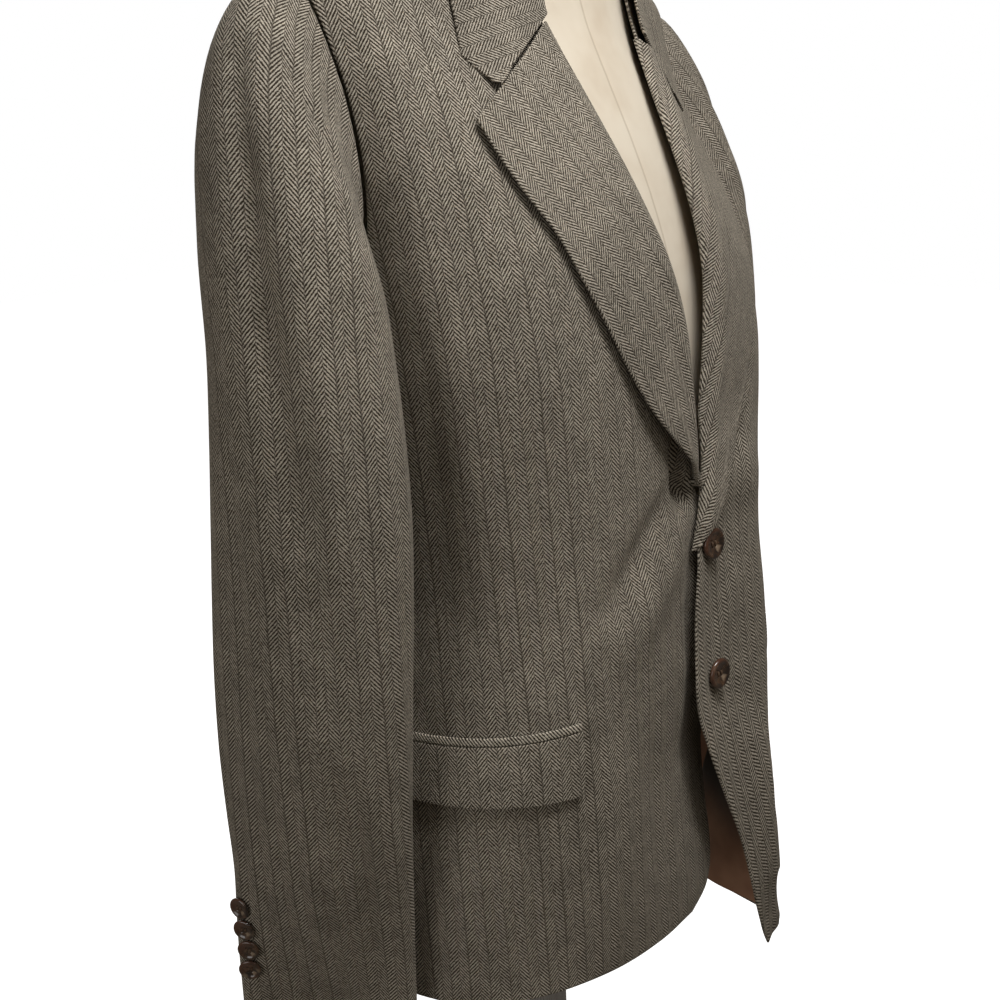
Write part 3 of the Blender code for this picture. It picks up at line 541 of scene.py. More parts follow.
def calc(operation, *values):
    """A math node's result; a value is a number or another node's socket."""
    node = add_node(tree_of(*values), "ShaderNodeMath", operation=operation)
    for place, value in enumerate(values):
        feed(node, place, value)
    return node.outputs["Value"]


def smooth_step(value, low, high, to_low=0.0, to_high=1.0):
    """A value eased from one range into another."""
    node = add_node(
        tree_of(value), "ShaderNodeMapRange", interpolation_type="SMOOTHSTEP",
        in_From_Min=low, in_From_Max=high, in_To_Min=to_low, in_To_Max=to_high,
    )
    return feed(node, "Value", value).outputs["Result"]


def noise(place, scale, detail=2.0, rough=0.5):
    """The amount of a noise at a place."""
    node = add_node(
        tree_of(place), "ShaderNodeTexNoise", in_Scale=scale, in_Detail=detail, in_Roughness=rough
    )
    return feed(node, "Vector", place).outputs["Fac"]


def mix_colour(share, first, second, blend="MIX"):
    """Two colours mixed by a share; each may be a constant or a socket."""
    node = add_node(tree_of(share, first, second), "ShaderNodeMix", data_type="RGBA", blend_type=blend)
    for socket, value in zip((0, 6, 7), (share, first, second)):
        feed(node, socket, value)
    return node.outputs[2]


def mapped_place(shader, name="Cloth"):
    """The places of a mesh's named map, for a material's nodes."""
    return add_node(shader.id_data, "ShaderNodeUVMap", uv_map=name).outputs["UV"]


def solid_place(shader):
    return add_node(shader.id_data, "ShaderNodeTexCoord").outputs["Object"]


def split(place):
    """A place's first two numbers."""
    axes = feed(add_node(tree_of(place), "ShaderNodeSeparateXYZ"), 0, place)
    return axes.outputs["X"], axes.outputs["Y"]


def emboss(shader, height, strength, distance):
    """Raises a material's surface by a height."""
    bump = add_node(shader.id_data, "ShaderNodeBump", in_Strength=strength, in_Distance=distance)
    feed(shader, "Normal", feed(bump, "Height", height).outputs["Normal"])


def new_group(name, inputs, outputs):
    """A node group with named sockets, from (name, kind, default) rows."""
    group = bpy.data.node_groups.new(name, "ShaderNodeTree")
    for socket, kind, default in inputs:
        made = group.interface.new_socket(socket, in_out="INPUT", socket_type=kind)
        if default is not None:
            made.default_value = default
    for socket, kind in outputs:
        group.interface.new_socket(socket, in_out="OUTPUT", socket_type=kind)
    return group, group.nodes.new("NodeGroupInput"), group.nodes.new("NodeGroupOutput")


def herringbone_group():
    """A broken herringbone twill in wool: light and dark yarns in columns that lean by turns."""
    group, given, made = new_group(
        "herringbone",
        (
            ("Cloth", "NodeSocketVector", None),
            ("Column", "NodeSocketFloat", COLUMN_WIDTH),
            ("Pitch", "NodeSocketFloat", TWILL_PITCH),
            ("Slope", "NodeSocketFloat", TWILL_SLOPE),
            ("Light Yarn", "NodeSocketColor", LIGHT_YARN),
            ("Dark Yarn", "NodeSocketColor", DARK_YARN),
        ),
        (("Colour", "NodeSocketColor"), ("Height", "NodeSocketFloat"), ("Mask", "NodeSocketFloat")),
    )
    place, column, pitch, slope = given.outputs[:4]
    wander = noise(place, 22.0, 1.0).node.outputs["Color"]
    bent = add_node(group, "ShaderNodeVectorMath", operation="MULTIPLY_ADD")
    for socket, value in enumerate((wander, YARN_WANDER, place)):
        feed(bent, socket, value)
    bent = bent.outputs[0]
    across, down = split(bent)

    leaning = calc("PINGPONG", across, column)
    number = calc("FLOOR", calc("DIVIDE", across, column))
    odd = calc("FLOORED_MODULO", number, 2.0)
    risen = calc("MULTIPLY_ADD", leaning, slope, down)
    phase = calc("MULTIPLY_ADD", odd, 0.5, calc("DIVIDE", risen, pitch))
    stripe = calc("MULTIPLY", calc("PINGPONG", phase, 0.5), 2.0)

    slub = noise(bent, 1250.0, 1.0)
    blotch = noise(bent, 420.0, 2.0)
    knobbly = calc("MULTIPLY_ADD", calc("SUBTRACT", slub, 0.5), 1.2, stripe)
    knobbly = calc("MULTIPLY_ADD", calc("SUBTRACT", blotch, 0.5), 0.9, knobbly)
    mask = smooth_step(knobbly, 0.26, 0.78)
    beside = calc("PINGPONG", across, calc("MULTIPLY", column, 0.5))
    clear = smooth_step(calc("DIVIDE", beside, column), 0.0, 0.07, 0.6, 1.0)
    mask = calc("MULTIPLY", mask, clear)
    ends = feed(add_node(group, "ShaderNodeVectorMath", operation="MULTIPLY"), 0, bent)
    patchy = noise(feed(ends, 1, BAND_STRETCH).outputs[0], 45.0, 1.0)
    heavy = smooth_step(patchy, 0.40, 0.66, 1.0, 0.60)
    line = smooth_step(calc("DIVIDE", leaning, column), 0.03, 0.13)
    mask = calc("MULTIPLY", mask, calc("MAXIMUM", line, heavy))

    shade = noise(place, 60.0, 3.0, 0.6)
    wide = noise(place, 7.0, 2.0)
    tint = calc("ADD", smooth_step(shade, 0.25, 0.75, 0.78, 1.06),
                smooth_step(wide, 0.3, 0.7, -0.06, 0.12))
    flecks = noise(place, 800.0, 1.0)
    rust = smooth_step(flecks, 0.62, 0.72, 0.0, 0.45)
    light = mix_colour(rust, given.outputs["Light Yarn"], RUST_YARN)
    cloth = mix_colour(mask, given.outputs["Dark Yarn"], light)
    grey = add_node(group, "ShaderNodeCombineColor")
    for socket in range(3):
        feed(grey, socket, tint)
    shaded = mix_colour(1.0, cloth, grey.outputs[0], "MULTIPLY")
    feed(made, "Colour", shaded)
    fibres = noise(place, 2600.0, 2.0)
    feed(made, "Height", calc("MULTIPLY_ADD", fibres, 0.5, mask))
    feed(made, "Mask", mask)
    return group


herringbone = herringbone_group()


def tweed_material(name, light=LIGHT_YARN, column=COLUMN_WIDTH, pitch=TWILL_PITCH, slope=TWILL_SLOPE):
    """Herringbone tweed on a piece's own cloth coordinates, with a soft wool nap."""
    made, shader = new_material(
        name, (0.1, 0.08, 0.06, 1.0), 0.9, Specular_IOR_Level=0.2,
        Sheen_Weight=0.12, Sheen_Roughness=0.45, Sheen_Tint=(0.8, 0.74, 0.62, 1.0),
    )
    weave = add_node(
        shader.id_data, "ShaderNodeGroup", node_tree=herringbone,
        in_Column=column, in_Pitch=pitch, in_Slope=slope, in_Light_Yarn=light,
    )
    feed(weave, "Cloth", mapped_place(shader))
    feed(shader, "Base Color", weave.outputs["Colour"])
    feed(shader, "Roughness", smooth_step(weave.outputs["Mask"], 0.0, 1.0, 0.95, 0.82))
    emboss(shader, weave.outputs["Height"], 0.7, 0.0005)
    return made


tweed = tweed_material("herringbone_tweed")
# The same cloth, with its twill drawn a little coarser and less steep for the left front.
leaning_tweed = tweed_material("herringbone_tweed_left", pitch=LEANING_PITCH, slope=LEANING_SLOPE)
made = {}


def dress(piece, material, replaced):
    """Gives a piece its finish and hides the solid that it stands for."""
    piece.data.materials.append(material)
    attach(piece, "root")
    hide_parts(replaced)


def sew(node, cloth, out, seams="", material=tweed, thickness=CLOTH):
    """Makes a cut cloth's shell and stands it in for its solid."""
    made[node] = shell(f"{node}_cloth", *cloth, out, seams, thickness)
    dress(made[node], material, node)


SIDES = {"right": -1, "left": 1}
FRONT_GRAIN = 0.55
FRONT_CELL = {"right": 0.0034, "left": 0.0040}
OVERLAP_REACH = 0.012
FRONT_FOLDS = {
    "right": (
        (8.5, 15.2, 9.1, 20.4, 0.8, -0.90),
        (8.6, 17.8, 9.9, 19.8, 0.6, -0.70),
        (7.4, 18.6, 0.6, 25.4, 1.1, -0.62),
        (9.9, 21.2, 1.6, 28.6, 1.5, 0.50),
        (9.9, 21.6, 9.2, 31.0, 0.7, -0.30),
        (9.3, 27.0, 9.4, 39.0, 0.8, -0.40),
        (-2.4, 11.0, -3.4, 30.0, 1.8, -0.26),
        (-6.6, -5.0, -5.2, 15.0, 1.7, -0.28),
        (-9.4, 6.0, -9.9, 27.0, 1.4, -0.30),
        (-10.4, -14.0, -9.8, -5.0, 1.3, -0.30),
        (-8.4, -12.0, -7.9, -2.0, 1.2, 0.16),
        (-5.6, 36.0, -6.4, 50.0, 1.5, -0.26),
        (0.6, 35.0, -0.3, 50.0, 1.7, 0.26),
        (4.2, 33.0, 4.8, 49.0, 1.3, -0.28),
    ),
    "left": (
        (5.2, 4.0, 4.6, 30.0, 2.6, 0.26),
        (4.6, 24.0, 5.8, 42.0, 3.0, 0.50),
        (7.0, 36.0, 9.8, 48.0, 2.4, 0.34),
        (9.2, 49.0, 9.8, 56.0, 2.8, -0.62),
        (12.4, 28.6, 8.2, 23.4, 0.9, 0.18),
        (12.2, 30.4, 7.8, 36.0, 1.2, -0.26),
        (8.6, 12.0, 8.2, 22.0, 1.2, -0.16),
        (-2.4, 10.0, -3.2, 28.0, 1.8, -0.26),
        (-8.8, -6.0, -9.4, 20.0, 1.5, -0.28),
        (-4.6, 34.0, -5.4, 50.0, 1.6, -0.28),
        (0.8, 36.0, 1.2, 52.0, 1.7, 0.24),
    ),
}
EDGE_LIFT = 0.0035
EDGE_LIFT_WIDTH = 0.022
EDGE_LIFT_FROM = 0.19
EDGE_LIFT_EASE = 0.03
FRONT_TWEED = {"right": tweed, "left": leaning_tweed}

for side, s in SIDES.items():
    grid = cloth_grid(f"front_{side}", 9, (s, 0.3, -0.8))[::-1]
    points, across, down = cut_cloth(grid, FRONT_CELL[side], FRONT_GRAIN)
    points, out = folded(points, across, down, FRONT_FOLDS[side])
    if side == "left":
        closeness = np.exp(-((edge_distance(points)[1] / EDGE_LIFT_WIDTH) ** 2))
        ease = np.clip((down - EDGE_LIFT_FROM) / EDGE_LIFT_EASE, 0, 1)
        points = risen(points, out, EDGE_LIFT * closeness * ease)
        points = lifted_clear(points, out, [made["front_right"]], reach=OVERLAP_REACH)
    sew(
        f"front_{side}", (points, across, down), out, "ts",
        FRONT_TWEED[side],
    )

# --- Side panels ---------------------------------------------------------------------------------
# A narrow panel under each arm, from the armhole to the hem, sewn to the front and the back by
# pressed seams and turned up at the hem.

for side, s in SIDES.items():
    cloth = cut_cloth(cloth_grid(f"side_{side}", 5, (0, 1, -1))[::-1], CELL)
    sew(f"side_{side}", cloth, facing(cloth[0], (0, 0), True), "tes")

# --- Backs ---------------------------------------------------------------------------------------
# Two plain back panels that meet in a seam down the middle, without a vent. The seam is shaped to
# the neck and the waist, and the shoulders are eased on to the fronts.

BACK_GRAIN = 0.15
BACK_FOLDS = {
    "right": (
        (4.0, -14.0, 9.5, -3.0, 1.7, 0.20),
        (17.0, -9.0, 14.2, 9.0, 1.7, -0.30),
        (1.0, 17.5, 11.0, 13.0, 1.5, -0.28),
        (3.0, 22.5, 14.0, 20.5, 1.2, -0.20),
        (6.4, 27.0, 7.6, 50.0, 2.1, -0.32),
        (13.4, 30.0, 14.8, 49.0, 2.3, 0.26),
    ),
    "left": (
        (3.4, -12.0, 8.2, -2.0, 1.5, 0.18),
        (16.6, -10.0, 13.6, 11.0, 1.9, -0.34),
        (0.8, 15.5, 12.0, 12.0, 1.6, -0.24),
        (4.6, 20.0, 12.5, 19.0, 1.1, -0.18),
        (5.2, 30.0, 5.8, 52.0, 1.9, -0.28),
        (11.6, 25.0, 13.4, 51.0, 2.5, 0.30),
    ),
}

for side, s in SIDES.items():
    grid = cloth_grid(f"back_{side}", 6, (-s, 0.2, -1))[::-1]
    points, across, down = cut_cloth(grid, CELL, BACK_GRAIN)
    points, out = folded(points, across, down, BACK_FOLDS[side])
    sew(f"back_{side}", (points, across, down), out, "tes")

# --- Lapels --------------------------------------------------------------------------------------
# Each front's facing, turned back along the roll and pressed into a notched lapel. The stripe runs
# beside the lapel's outer edge, so it leans across the chest, and the lapel narrows into the roll.

LAPEL_NARROWING = {
    "right": (1.04, 1.08, 1.12, 1.15, 1.20, 1.28, 1.35, 0.9),
    "left": (0.93, 0.80, 0.60, 0.04),
}
LAPEL_CELL = 0.0034
LAPEL_GAP = 0.0008
LAPEL_END_RISE = {"right": 0.0, "left": 0.006}
LAPEL_GRAIN = 0.2
LAPEL_EDGE_LIFT = {"right": 0.0026, "left": 0.0015}
LAPEL_END_LIFT = {"right": 0.006, "left": 0.005}
LAPEL_EDGE_WIDTH = 0.012
LAPEL_END_FROM, LAPEL_END_WIDTH = 0.028, 0.024
LAPEL_ROLL_EASE, LAPEL_END_EASE = 0.008, 0.022

for side, s in SIDES.items():
    grid = cloth_grid(f"lapel_{side}", 10, (s, 0, 0.6))
    shares = np.array(LAPEL_NARROWING[side])[:, None, None]
    tail = grid[-len(shares):]
    tail[:] = tail[:, -1:] + (tail - tail[:, -1:]) * shares
    grid[-1, :, 2] += LAPEL_END_RISE[side]
    points, across, down = cut_cloth(grid, LAPEL_CELL, LAPEL_GRAIN)
    out = facing(points, (0, 0), True)
    top, rolled, below, outer = edge_distance(points)
    lift = LAPEL_EDGE_LIFT[side] * np.exp(-((outer / LAPEL_EDGE_WIDTH) ** 2))
    near_end = ((below - LAPEL_END_FROM) / LAPEL_END_WIDTH) ** 2
    lift = lift + LAPEL_END_LIFT[side] * np.exp(-near_end)
    lift = lift * np.clip(rolled / LAPEL_ROLL_EASE, 0, 1) * np.clip(below / LAPEL_END_EASE, 0, 1)
    points = lifted_clear(points, out, [made[f"front_{side}"]], gap=LAPEL_GAP, raised=lift)
    sew(f"lapel_{side}", (points, across, down), out)

# --- Collar --------------------------------------------------------------------------------------
# The fall lies round the neck over the shoulders and the tops of the lapels, sewn to them at the
# gorge, with its grain across it. Inside it, the stand rises from the neck seam.

COLLAR_END_DROP = (0.0055, 0.006, 0.0065, 0.0)
COLLAR_CORNER_SHIFT = (0.0022, -0.0031)
COLLAR_END_LIFT = 0.0042
COLLAR_LAYING_CELL = 0.006
COLLAR_CELL = 0.0036
COLLAR_END_WIDTH = 0.012
STAND_CLOTH = 0.0015
GORGE_SINK = 0.0017
GORGE_REACH = 0.006

grid = cloth_grid("collar", 7, (1, -1, 1))
for end in (0, -1):
    grid[end, :4, 2] -= COLLAR_END_DROP
    grid[end, 2, 0] -= math.copysign(COLLAR_CORNER_SHIFT[0], grid[end, 2, 0])
    grid[end, 2, 1] += COLLAR_CORNER_SHIFT[1]
gorge = np.linalg.norm(np.diff(grid[0, :3], axis=0), axis=1).sum()
points, down, across = cut_cloth(grid, COLLAR_CELL, laying=COLLAR_LAYING_CELL)
out = facing(points, (0, 0), True)
top, end, foot, start = edge_distance(points)
to_end = np.minimum(top, foot)
sewn = np.clip((gorge - start) / GORGE_REACH, 0, 1)
lift = COLLAR_END_LIFT * np.exp(-((to_end / COLLAR_END_WIDTH) ** 2)) * (1 - sewn)
lift = lift - GORGE_SINK * np.exp(-((to_end / GORGE_REACH) ** 2)) * sewn
carriers = [made[n] for n in ("lapel_right", "lapel_left", "front_right", "front_left")]
points = lifted_clear(points, out, carriers, raised=lift)
sew("collar", (points, across, down), out)

grid = cloth_grid("collar_stand", 4, (1, -1, 0), outer=False, thickness=STAND_CLOTH)
points, down, across = cut_cloth(grid, COLLAR_CELL)
sew(
    "collar_stand", (points, across, down), facing(points, (0, 0), False),
    thickness=STAND_CLOTH,
)

# --- Sleeves -------------------------------------------------------------------------------------
# Two-piece sleeves: a wide top sleeve eased into the armhole, and a narrow under sleeve. They are
# joined by a front and a back seam, bend a little at the elbow, and end in a plain open cuff.

SLEEVE_AXIS = 0.25
SLEEVE_CELL = {"right": 0.0034, "left": CELL}
TOP_SLEEVE_CUT = ((0.28, 0.695), 0.1135)
UNDER_SLEEVE_CUT = ((0.17, 0.59), 0.0655)
UNDER_SLEEVE_FOLDS = {
    "right": (
        (-1.2, -15.0, 0.8, 1.0, 1.3, -0.24),
        (2.6, -3.0, -2.4, 5.0, 1.1, -0.30),
        (2.4, 8.0, 0.4, 23.0, 1.4, -0.22),
        (-2.6, 20.0, -1.4, 31.0, 1.1, -0.26),
    ),
    "left": (
        (-0.6, -13.0, 1.4, 3.0, 1.4, -0.26),
        (2.2, 0.0, -2.8, 7.0, 1.2, -0.32),
        (1.8, 12.0, 0.2, 26.0, 1.3, -0.20),
        (-2.2, 18.0, -1.8, 30.0, 1.2, -0.24),
    ),
}
TOP_SLEEVE_FOLDS = {
    "right": (
        (-1.9, -21.5, -1.5, -12.0, 0.7, -0.40),
        (-1.7, -16.0, -1.1, -4.0, 0.8, -0.55),
        (-1.3, -8.0, 0.2, 6.0, 1.1, -0.50),
        (0.0, 1.0, 0.3, 17.0, 1.5, -0.40),
        (-3.8, -15.0, -3.4, 1.0, 1.5, 0.26),
        (0.5, -15.0, 1.6, -1.0, 1.3, 0.22),
        (-0.3, -22.6, 0.9, -20.2, 0.25, -0.15),
        (0.7, -20.8, 1.7, -18.6, 0.25, -0.17),
        (1.5, -19.2, 3.0, -17.0, 0.3, -0.20),
        (2.7, -17.6, 4.5, -14.8, 0.4, -0.24),
        (-1.2, -22.8, -1.5, -19.8, 0.35, -0.12),
        (0.5, -21.2, 0.0, -18.0, 0.35, -0.12),
        (3.7, -8.0, 3.6, 14.0, 1.3, -0.30),
        (-4.7, 0.0, -5.4, 20.0, 1.4, -0.26),
        (4.8, 4.0, 4.6, 28.0, 0.9, 0.16),
        (0.7, 21.0, 2.3, 32.0, 1.1, -0.42),
        (2.2, 29.0, 2.4, 40.0, 1.1, -0.34),
        (-1.6, 24.0, -0.8, 39.0, 1.5, 0.26),
    ),
    "left": (
        (0.6, -25.0, 4.6, -11.0, 2.6, 0.90),
        (4.6, -13.0, 5.0, 3.0, 2.8, 0.36),
        (1.7, -21.0, 1.2, -8.0, 0.8, -0.40),
        (1.4, -12.0, 0.0, 6.0, 1.1, -0.50),
        (-0.2, 1.0, -0.5, 18.0, 1.5, -0.36),
        (3.6, -14.0, 3.4, 2.0, 1.4, 0.24),
        (-3.7, -8.0, -3.5, 14.0, 1.3, -0.28),
        (4.9, 2.0, 5.2, 22.0, 1.4, -0.24),
        (-0.8, 20.0, -2.2, 33.0, 1.1, -0.38),
        (-2.2, 30.0, -2.3, 40.0, 1.1, -0.30),
        (1.4, 24.0, 0.9, 38.0, 1.5, 0.24),
    ),
}

for side, s in SIDES.items():
    for name, columns, cut, folds, cell in (
        ("top_sleeve", 13, TOP_SLEEVE_CUT, TOP_SLEEVE_FOLDS[side], SLEEVE_CELL[side]),
        ("under_sleeve", 9, UNDER_SLEEVE_CUT, UNDER_SLEEVE_FOLDS[side], CELL),
    ):
        node, axis = f"{name}_{side}", (s * SLEEVE_AXIS, 0)
        points, across, down = cut_cloth(cloth_grid(node, columns, (0, 1, -1), axis)[::-1], cell)
        points, out = folded(points, across, down, folds, axis)
        sew(node, (points, across, down), out, "tes")

# --- Pockets -------------------------------------------------------------------------------------
# A straight jetted pocket on each front: a narrow strip piped along the mouth, with its twill all
# one way, and a flap that hangs from under it with rounded lower corners.

FLAP_STAND_OFF = 0.0016
MOUTH_RISE = 0.005
PIPING_ROLL = 0.0014
PIPING_START = 0.25
FLAP_CELL = 0.003
PIPING_CELL = 0.002
PIPING_YARN_PAINTED_LIGHT = (0.62, 0.56, 0.46, 1.0)

# Painted light: the piping's light yarn is brighter than the tweed's, for the light its rolled strip
# catches.
piping = tweed_material("twill_piping", light=PIPING_YARN_PAINTED_LIGHT, column=1.0)


def pocket_grid(node, side, corner):
    """A pocket piece's grid; the left one lies back along itself by one of its columns."""
    grid = cloth_grid(node, 9, corner)
    if side == "left":
        grid = np.concatenate((2 * grid[:, :1] - grid[:, 1:2], grid[:, :-1]), axis=1)
    return grid


rise = MOUTH_RISE * np.linspace(0, 1, 9) ** 2
for side, s in SIDES.items():
    flap, jetting, front = f"pocket_flap_{side}", f"pocket_jetting_{side}", f"front_{side}_cloth"
    carriers = [made[f"front_{side}"], made[f"side_{side}"]]
    grid = pocket_grid(flap, side, (s, 0.2, 0.6))
    grid[:, :, 2] += np.outer(np.linspace(1, 0, len(grid)) ** 2, rise)
    points, across, down = cut_cloth(grid, FLAP_CELL)
    out = facing(points, (0, 0), True)
    hang = np.linspace(0, 1, len(points))[:, None] ** 2
    stand_off = FLAP_STAND_OFF * hang * np.ones(points.shape[:2])
    points = lifted_clear(points, out, carriers, raised=stand_off)
    sew(flap, (points, across, down), out)

    grid = pocket_grid(jetting, side, (s, 0.2, -0.2))
    grid[:, :, 2] += rise
    points = smoothed(grid, PIPING_CELL)
    across, down = flat_cloth(points)
    roll = PIPING_ROLL * np.clip(np.sin(np.pi * down / down[-1:]), 0, 1) ** 0.7
    out = facing(points, (0, 0), True)
    points = lifted_clear(points, out, carriers + [made[flap]], raised=roll)
    cloth = (points, across + PIPING_START, down)
    sew(jetting, cloth, out, material=piping)

# --- Lining --------------------------------------------------------------------------------------
# A thin dusty pink-brown satin inside the left skirt, where the fronts part. It stops a little
# above the hem, and nothing else of it shows. Its colour is painted dark towards the top, as painted
# shade.

LINING_THICKNESS = 0.001
LINING_COLOUR = (0.50, 0.27, 0.17, 1.0)
LINING_WORN = (0.36, 0.18, 0.11, 1.0)
LINING_PAINTED_SHADE = (0.006, 0.004, 0.003, 1.0)
LINING_CELL = 0.004
LINING_PAINTED_SHADE_SPAN = (-0.015, 0.035)
LINING_BAG = (-0.0059, 0.0081)
LINING_BAGGING = ((1, 0.7), (2, 1.0), (3, 0.9), (4, 0.4))

grid = cloth_grid("lining_left_front", 8, (0, -1, -1), outer=False, thickness=LINING_THICKNESS)
for column, share in LINING_BAGGING:
    grid[:, column, :2] += np.array(LINING_BAG) * share
cloth = cut_cloth(grid, LINING_CELL)

satin, shader = new_material("lining_satin", LINING_COLOUR, 0.45, Sheen_Weight=0.1, Specular_IOR_Level=0.4)
place = mapped_place(shader)
colour = mix_colour(smooth_step(noise(place, 30.0, 3.0), 0.3, 0.7), LINING_COLOUR, LINING_WORN)
# Painted shade: the satin's colour falls to near black towards its top, for the shadow inside the jacket.
fall = smooth_step(split(place)[1], *LINING_PAINTED_SHADE_SPAN, 0.0, 0.97)
feed(shader, "Base Color", mix_colour(fall, colour, LINING_PAINTED_SHADE))
emboss(shader, noise(place, 2500.0, 1.0), 0.3, 0.0002)
sew(
    "lining_left_front", cloth, facing(cloth[0], (0, 0), False),
    material=satin, thickness=LINING_THICKNESS,
)

# --- Buttons -------------------------------------------------------------------------------------
# Turned horn buttons with a raised rim, a dished face and four holes, each sewn through with brown
# thread: two close the front, and four lie on each cuff.

BUTTON_STEPS = 48
BUTTON_FOOT = 0.8
HOLE_REACH = 0.16
HOLE_RADIUS = 0.085
HOLE_SIDES = 12
THREAD_RADIUS = 0.05
POLE = 1e-9
CUFF_TURNS = (0.0, 3.0, 7.0, 8.0)
CUFF_AXIS = 0.23


def turned_mesh(name, profile, steps):
    """A solid turned round the Z axis from (radius, height) pairs, from its top middle to its foot."""
    points, faces, rings = [], [], []
    for radius, height in profile:
        rings.append((len(points), radius < POLE))
        for step in range(1 if radius < POLE else steps):
            turn = 2 * math.pi * step / steps
            points.append((radius * math.cos(turn), radius * math.sin(turn), height))
    for (upper, upper_pole), (lower, lower_pole) in zip(rings, rings[1:]):
        for step in range(steps):
            following = (step + 1) % steps
            if upper_pole:
                faces.append((upper, lower + step, lower + following))
            elif lower_pole:
                faces.append((upper + step, lower, upper + following))
            else:
                faces.append((upper + step, lower + step, lower + following, upper + following))
    mesh = bpy.data.meshes.new(name)
    mesh.from_pydata(points, [], faces)
    shade_smooth(mesh)
    return mesh


def button_place(node, axis):
    """A button's centre underneath, its way out and its radius, from its solid."""
    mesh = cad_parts[node].data
    points = np.empty(len(mesh.vertices) * 3)
    mesh.vertices.foreach_get("co", points)
    points = np.unique(points.reshape(-1, 3).round(6), axis=0)
    middle = points.mean(axis=0)
    normal = np.linalg.svd(points - middle)[2][-1]
    if normal[:2] @ (middle[:2] - np.array(axis)) < 0:
        normal = -normal
    heights = (points - middle) @ normal
    flat = points - middle - np.outer(heights, normal)
    centre = middle + (flat.max(axis=0) + flat.min(axis=0)) / 2
    radius = np.linalg.norm(points - centre - np.outer((points - centre) @ normal, normal), axis=1).max()
    return centre + normal * heights.min(), normal, radius


def resting(centre, normal, radius, carrier):
    """A button's place, moved along its own axis until it just rests on the cloth."""
    tree = ray_tree(carrier)
    turn = Vector(normal).to_track_quat("Z", "Y").to_matrix()
    heights = []
    for step in range(12):
        angle = math.pi * step / 6
        spot = Vector(centre) + turn @ Vector((math.cos(angle), math.sin(angle), 0)) * radius * BUTTON_FOOT
        hit = tree.ray_cast(spot + Vector(normal) * 0.02, -Vector(normal), 0.05)[0]
        if hit is not None:
            heights.append((hit - spot).dot(Vector(normal)))
    return Vector(centre) + Vector(normal) * (max(heights) + BARELY)


def button_mesh(name, radius):
    """A turned button from its section in shares of its radius, with a map of its face."""
    profile = [
        (0.0, 0.20), (0.30, 0.205), (0.50, 0.225), (0.62, 0.262), (0.70, 0.310), (0.76, 0.345),
        (0.83, 0.360), (0.90, 0.350), (0.96, 0.315), (0.995, 0.255), (1.0, 0.20), (0.985, 0.13),
        (0.93, 0.07), (0.80, 0.025), (0.60, 0.0), (0.0, 0.0),
    ]
    mesh = turned_mesh(name, [(along * radius, up * radius) for along, up in profile], BUTTON_STEPS)
    face = mesh.uv_layers.new(name="Face")
    for loop, spot in zip(mesh.loops, face.data):
        spot.uv = mesh.vertices[loop.vertex_index].co.xy / radius
    return mesh


def place_on(points, centre, normal):
    """Turns points from a button's own axes to its place on the cloth."""
    turn = Vector(normal).to_track_quat("Z", "Y").to_matrix()
    return [tuple(turn @ Vector(p) + Vector(centre)) for p in points]


def add_loop(shape, path, radius, sides=8):
    """A closed round thread along a ring of points."""
    rings = []
    for i, here in enumerate(path):
        ahead = (path[(i + 1) % len(path)] - path[i - 1]).normalized()
        across = ahead.cross(Vector((0, 0, 1)) if abs(ahead.z) < 0.9 else Vector((1, 0, 0))).normalized()
        over = ahead.cross(across)
        rings.append([
            shape.verts.new(here + across * radius * math.cos(2 * math.pi * k / sides)
                            + over * radius * math.sin(2 * math.pi * k / sides))
            for k in range(sides)
        ])
    for ring, following in zip(rings, rings[1:] + rings[:1]):
        for k in range(sides):
            shape.faces.new((ring[k], ring[(k + 1) % sides], following[(k + 1) % sides], following[k]))


def thread_mesh(name, radius):
    """Two parallel stitches through the four holes."""
    shape = bmesh.new()
    for across in (-HOLE_REACH, HOLE_REACH):
        for lift in (-0.03, 0.03):
            path = []
            for step in range(16):
                turn = 2 * math.pi * step / 16
                path.append(Vector((
                    (across + lift) * radius,
                    HOLE_REACH * radius * math.cos(turn) * 1.05,
                    radius * (0.12 + 0.115 * math.sin(turn)),
                )))
            add_loop(shape, path, THREAD_RADIUS * radius * 0.7)
    mesh = bpy.data.meshes.new(name)
    shape.to_mesh(mesh)
    shape.free()
    shade_smooth(mesh)
    return mesh


horn, shader = new_material(
    "horn", (0.03, 0.018, 0.012, 1.0), 0.22, Coat_Weight=0.6, Coat_Roughness=0.08, Specular_IOR_Level=0.6
)
place = solid_place(shader)
cloud = noise(place, 190.0, 3.0, 0.6)
streak = smooth_step(noise(place, 75.0, 1.0), 0.60, 0.72, 0.0, 0.6)
colour = mix_colour(smooth_step(cloud, 0.35, 0.7), (0.014, 0.008, 0.006, 1.0), (0.085, 0.042, 0.02, 1.0))
colour = mix_colour(streak, colour, (0.32, 0.24, 0.16, 1.0))
# Painted light, the same way round on every button: the upper-left side is painted a lighter reddish
# brown, and a pale wedge towards the lower right is a painted reflection.
x, y = split(mapped_place(shader, "Face"))
along = calc("SUBTRACT", x, y)
painted_reflection = calc("DIVIDE", calc("ABSOLUTE", calc("ADD", x, y)), calc("MAXIMUM", along, 0.01))
painted_reflection = smooth_step(painted_reflection, 0.25, 0.5, 1.0, 0.0)
painted_reflection = calc("MULTIPLY", painted_reflection, smooth_step(along, 0.2, 0.35))
painted_reflection = calc("MULTIPLY", painted_reflection, smooth_step(along, 0.75, 1.0, 0.75, 0.0))
colour = mix_colour(smooth_step(along, 0.1, -0.9, 0.0, 0.7), colour, (0.10, 0.04, 0.022, 1.0))
feed(shader, "Base Color", mix_colour(painted_reflection, colour, (0.30, 0.22, 0.15, 1.0)))
feed(shader, "Roughness", smooth_step(cloud, 0.2, 0.8, 0.16, 0.32))

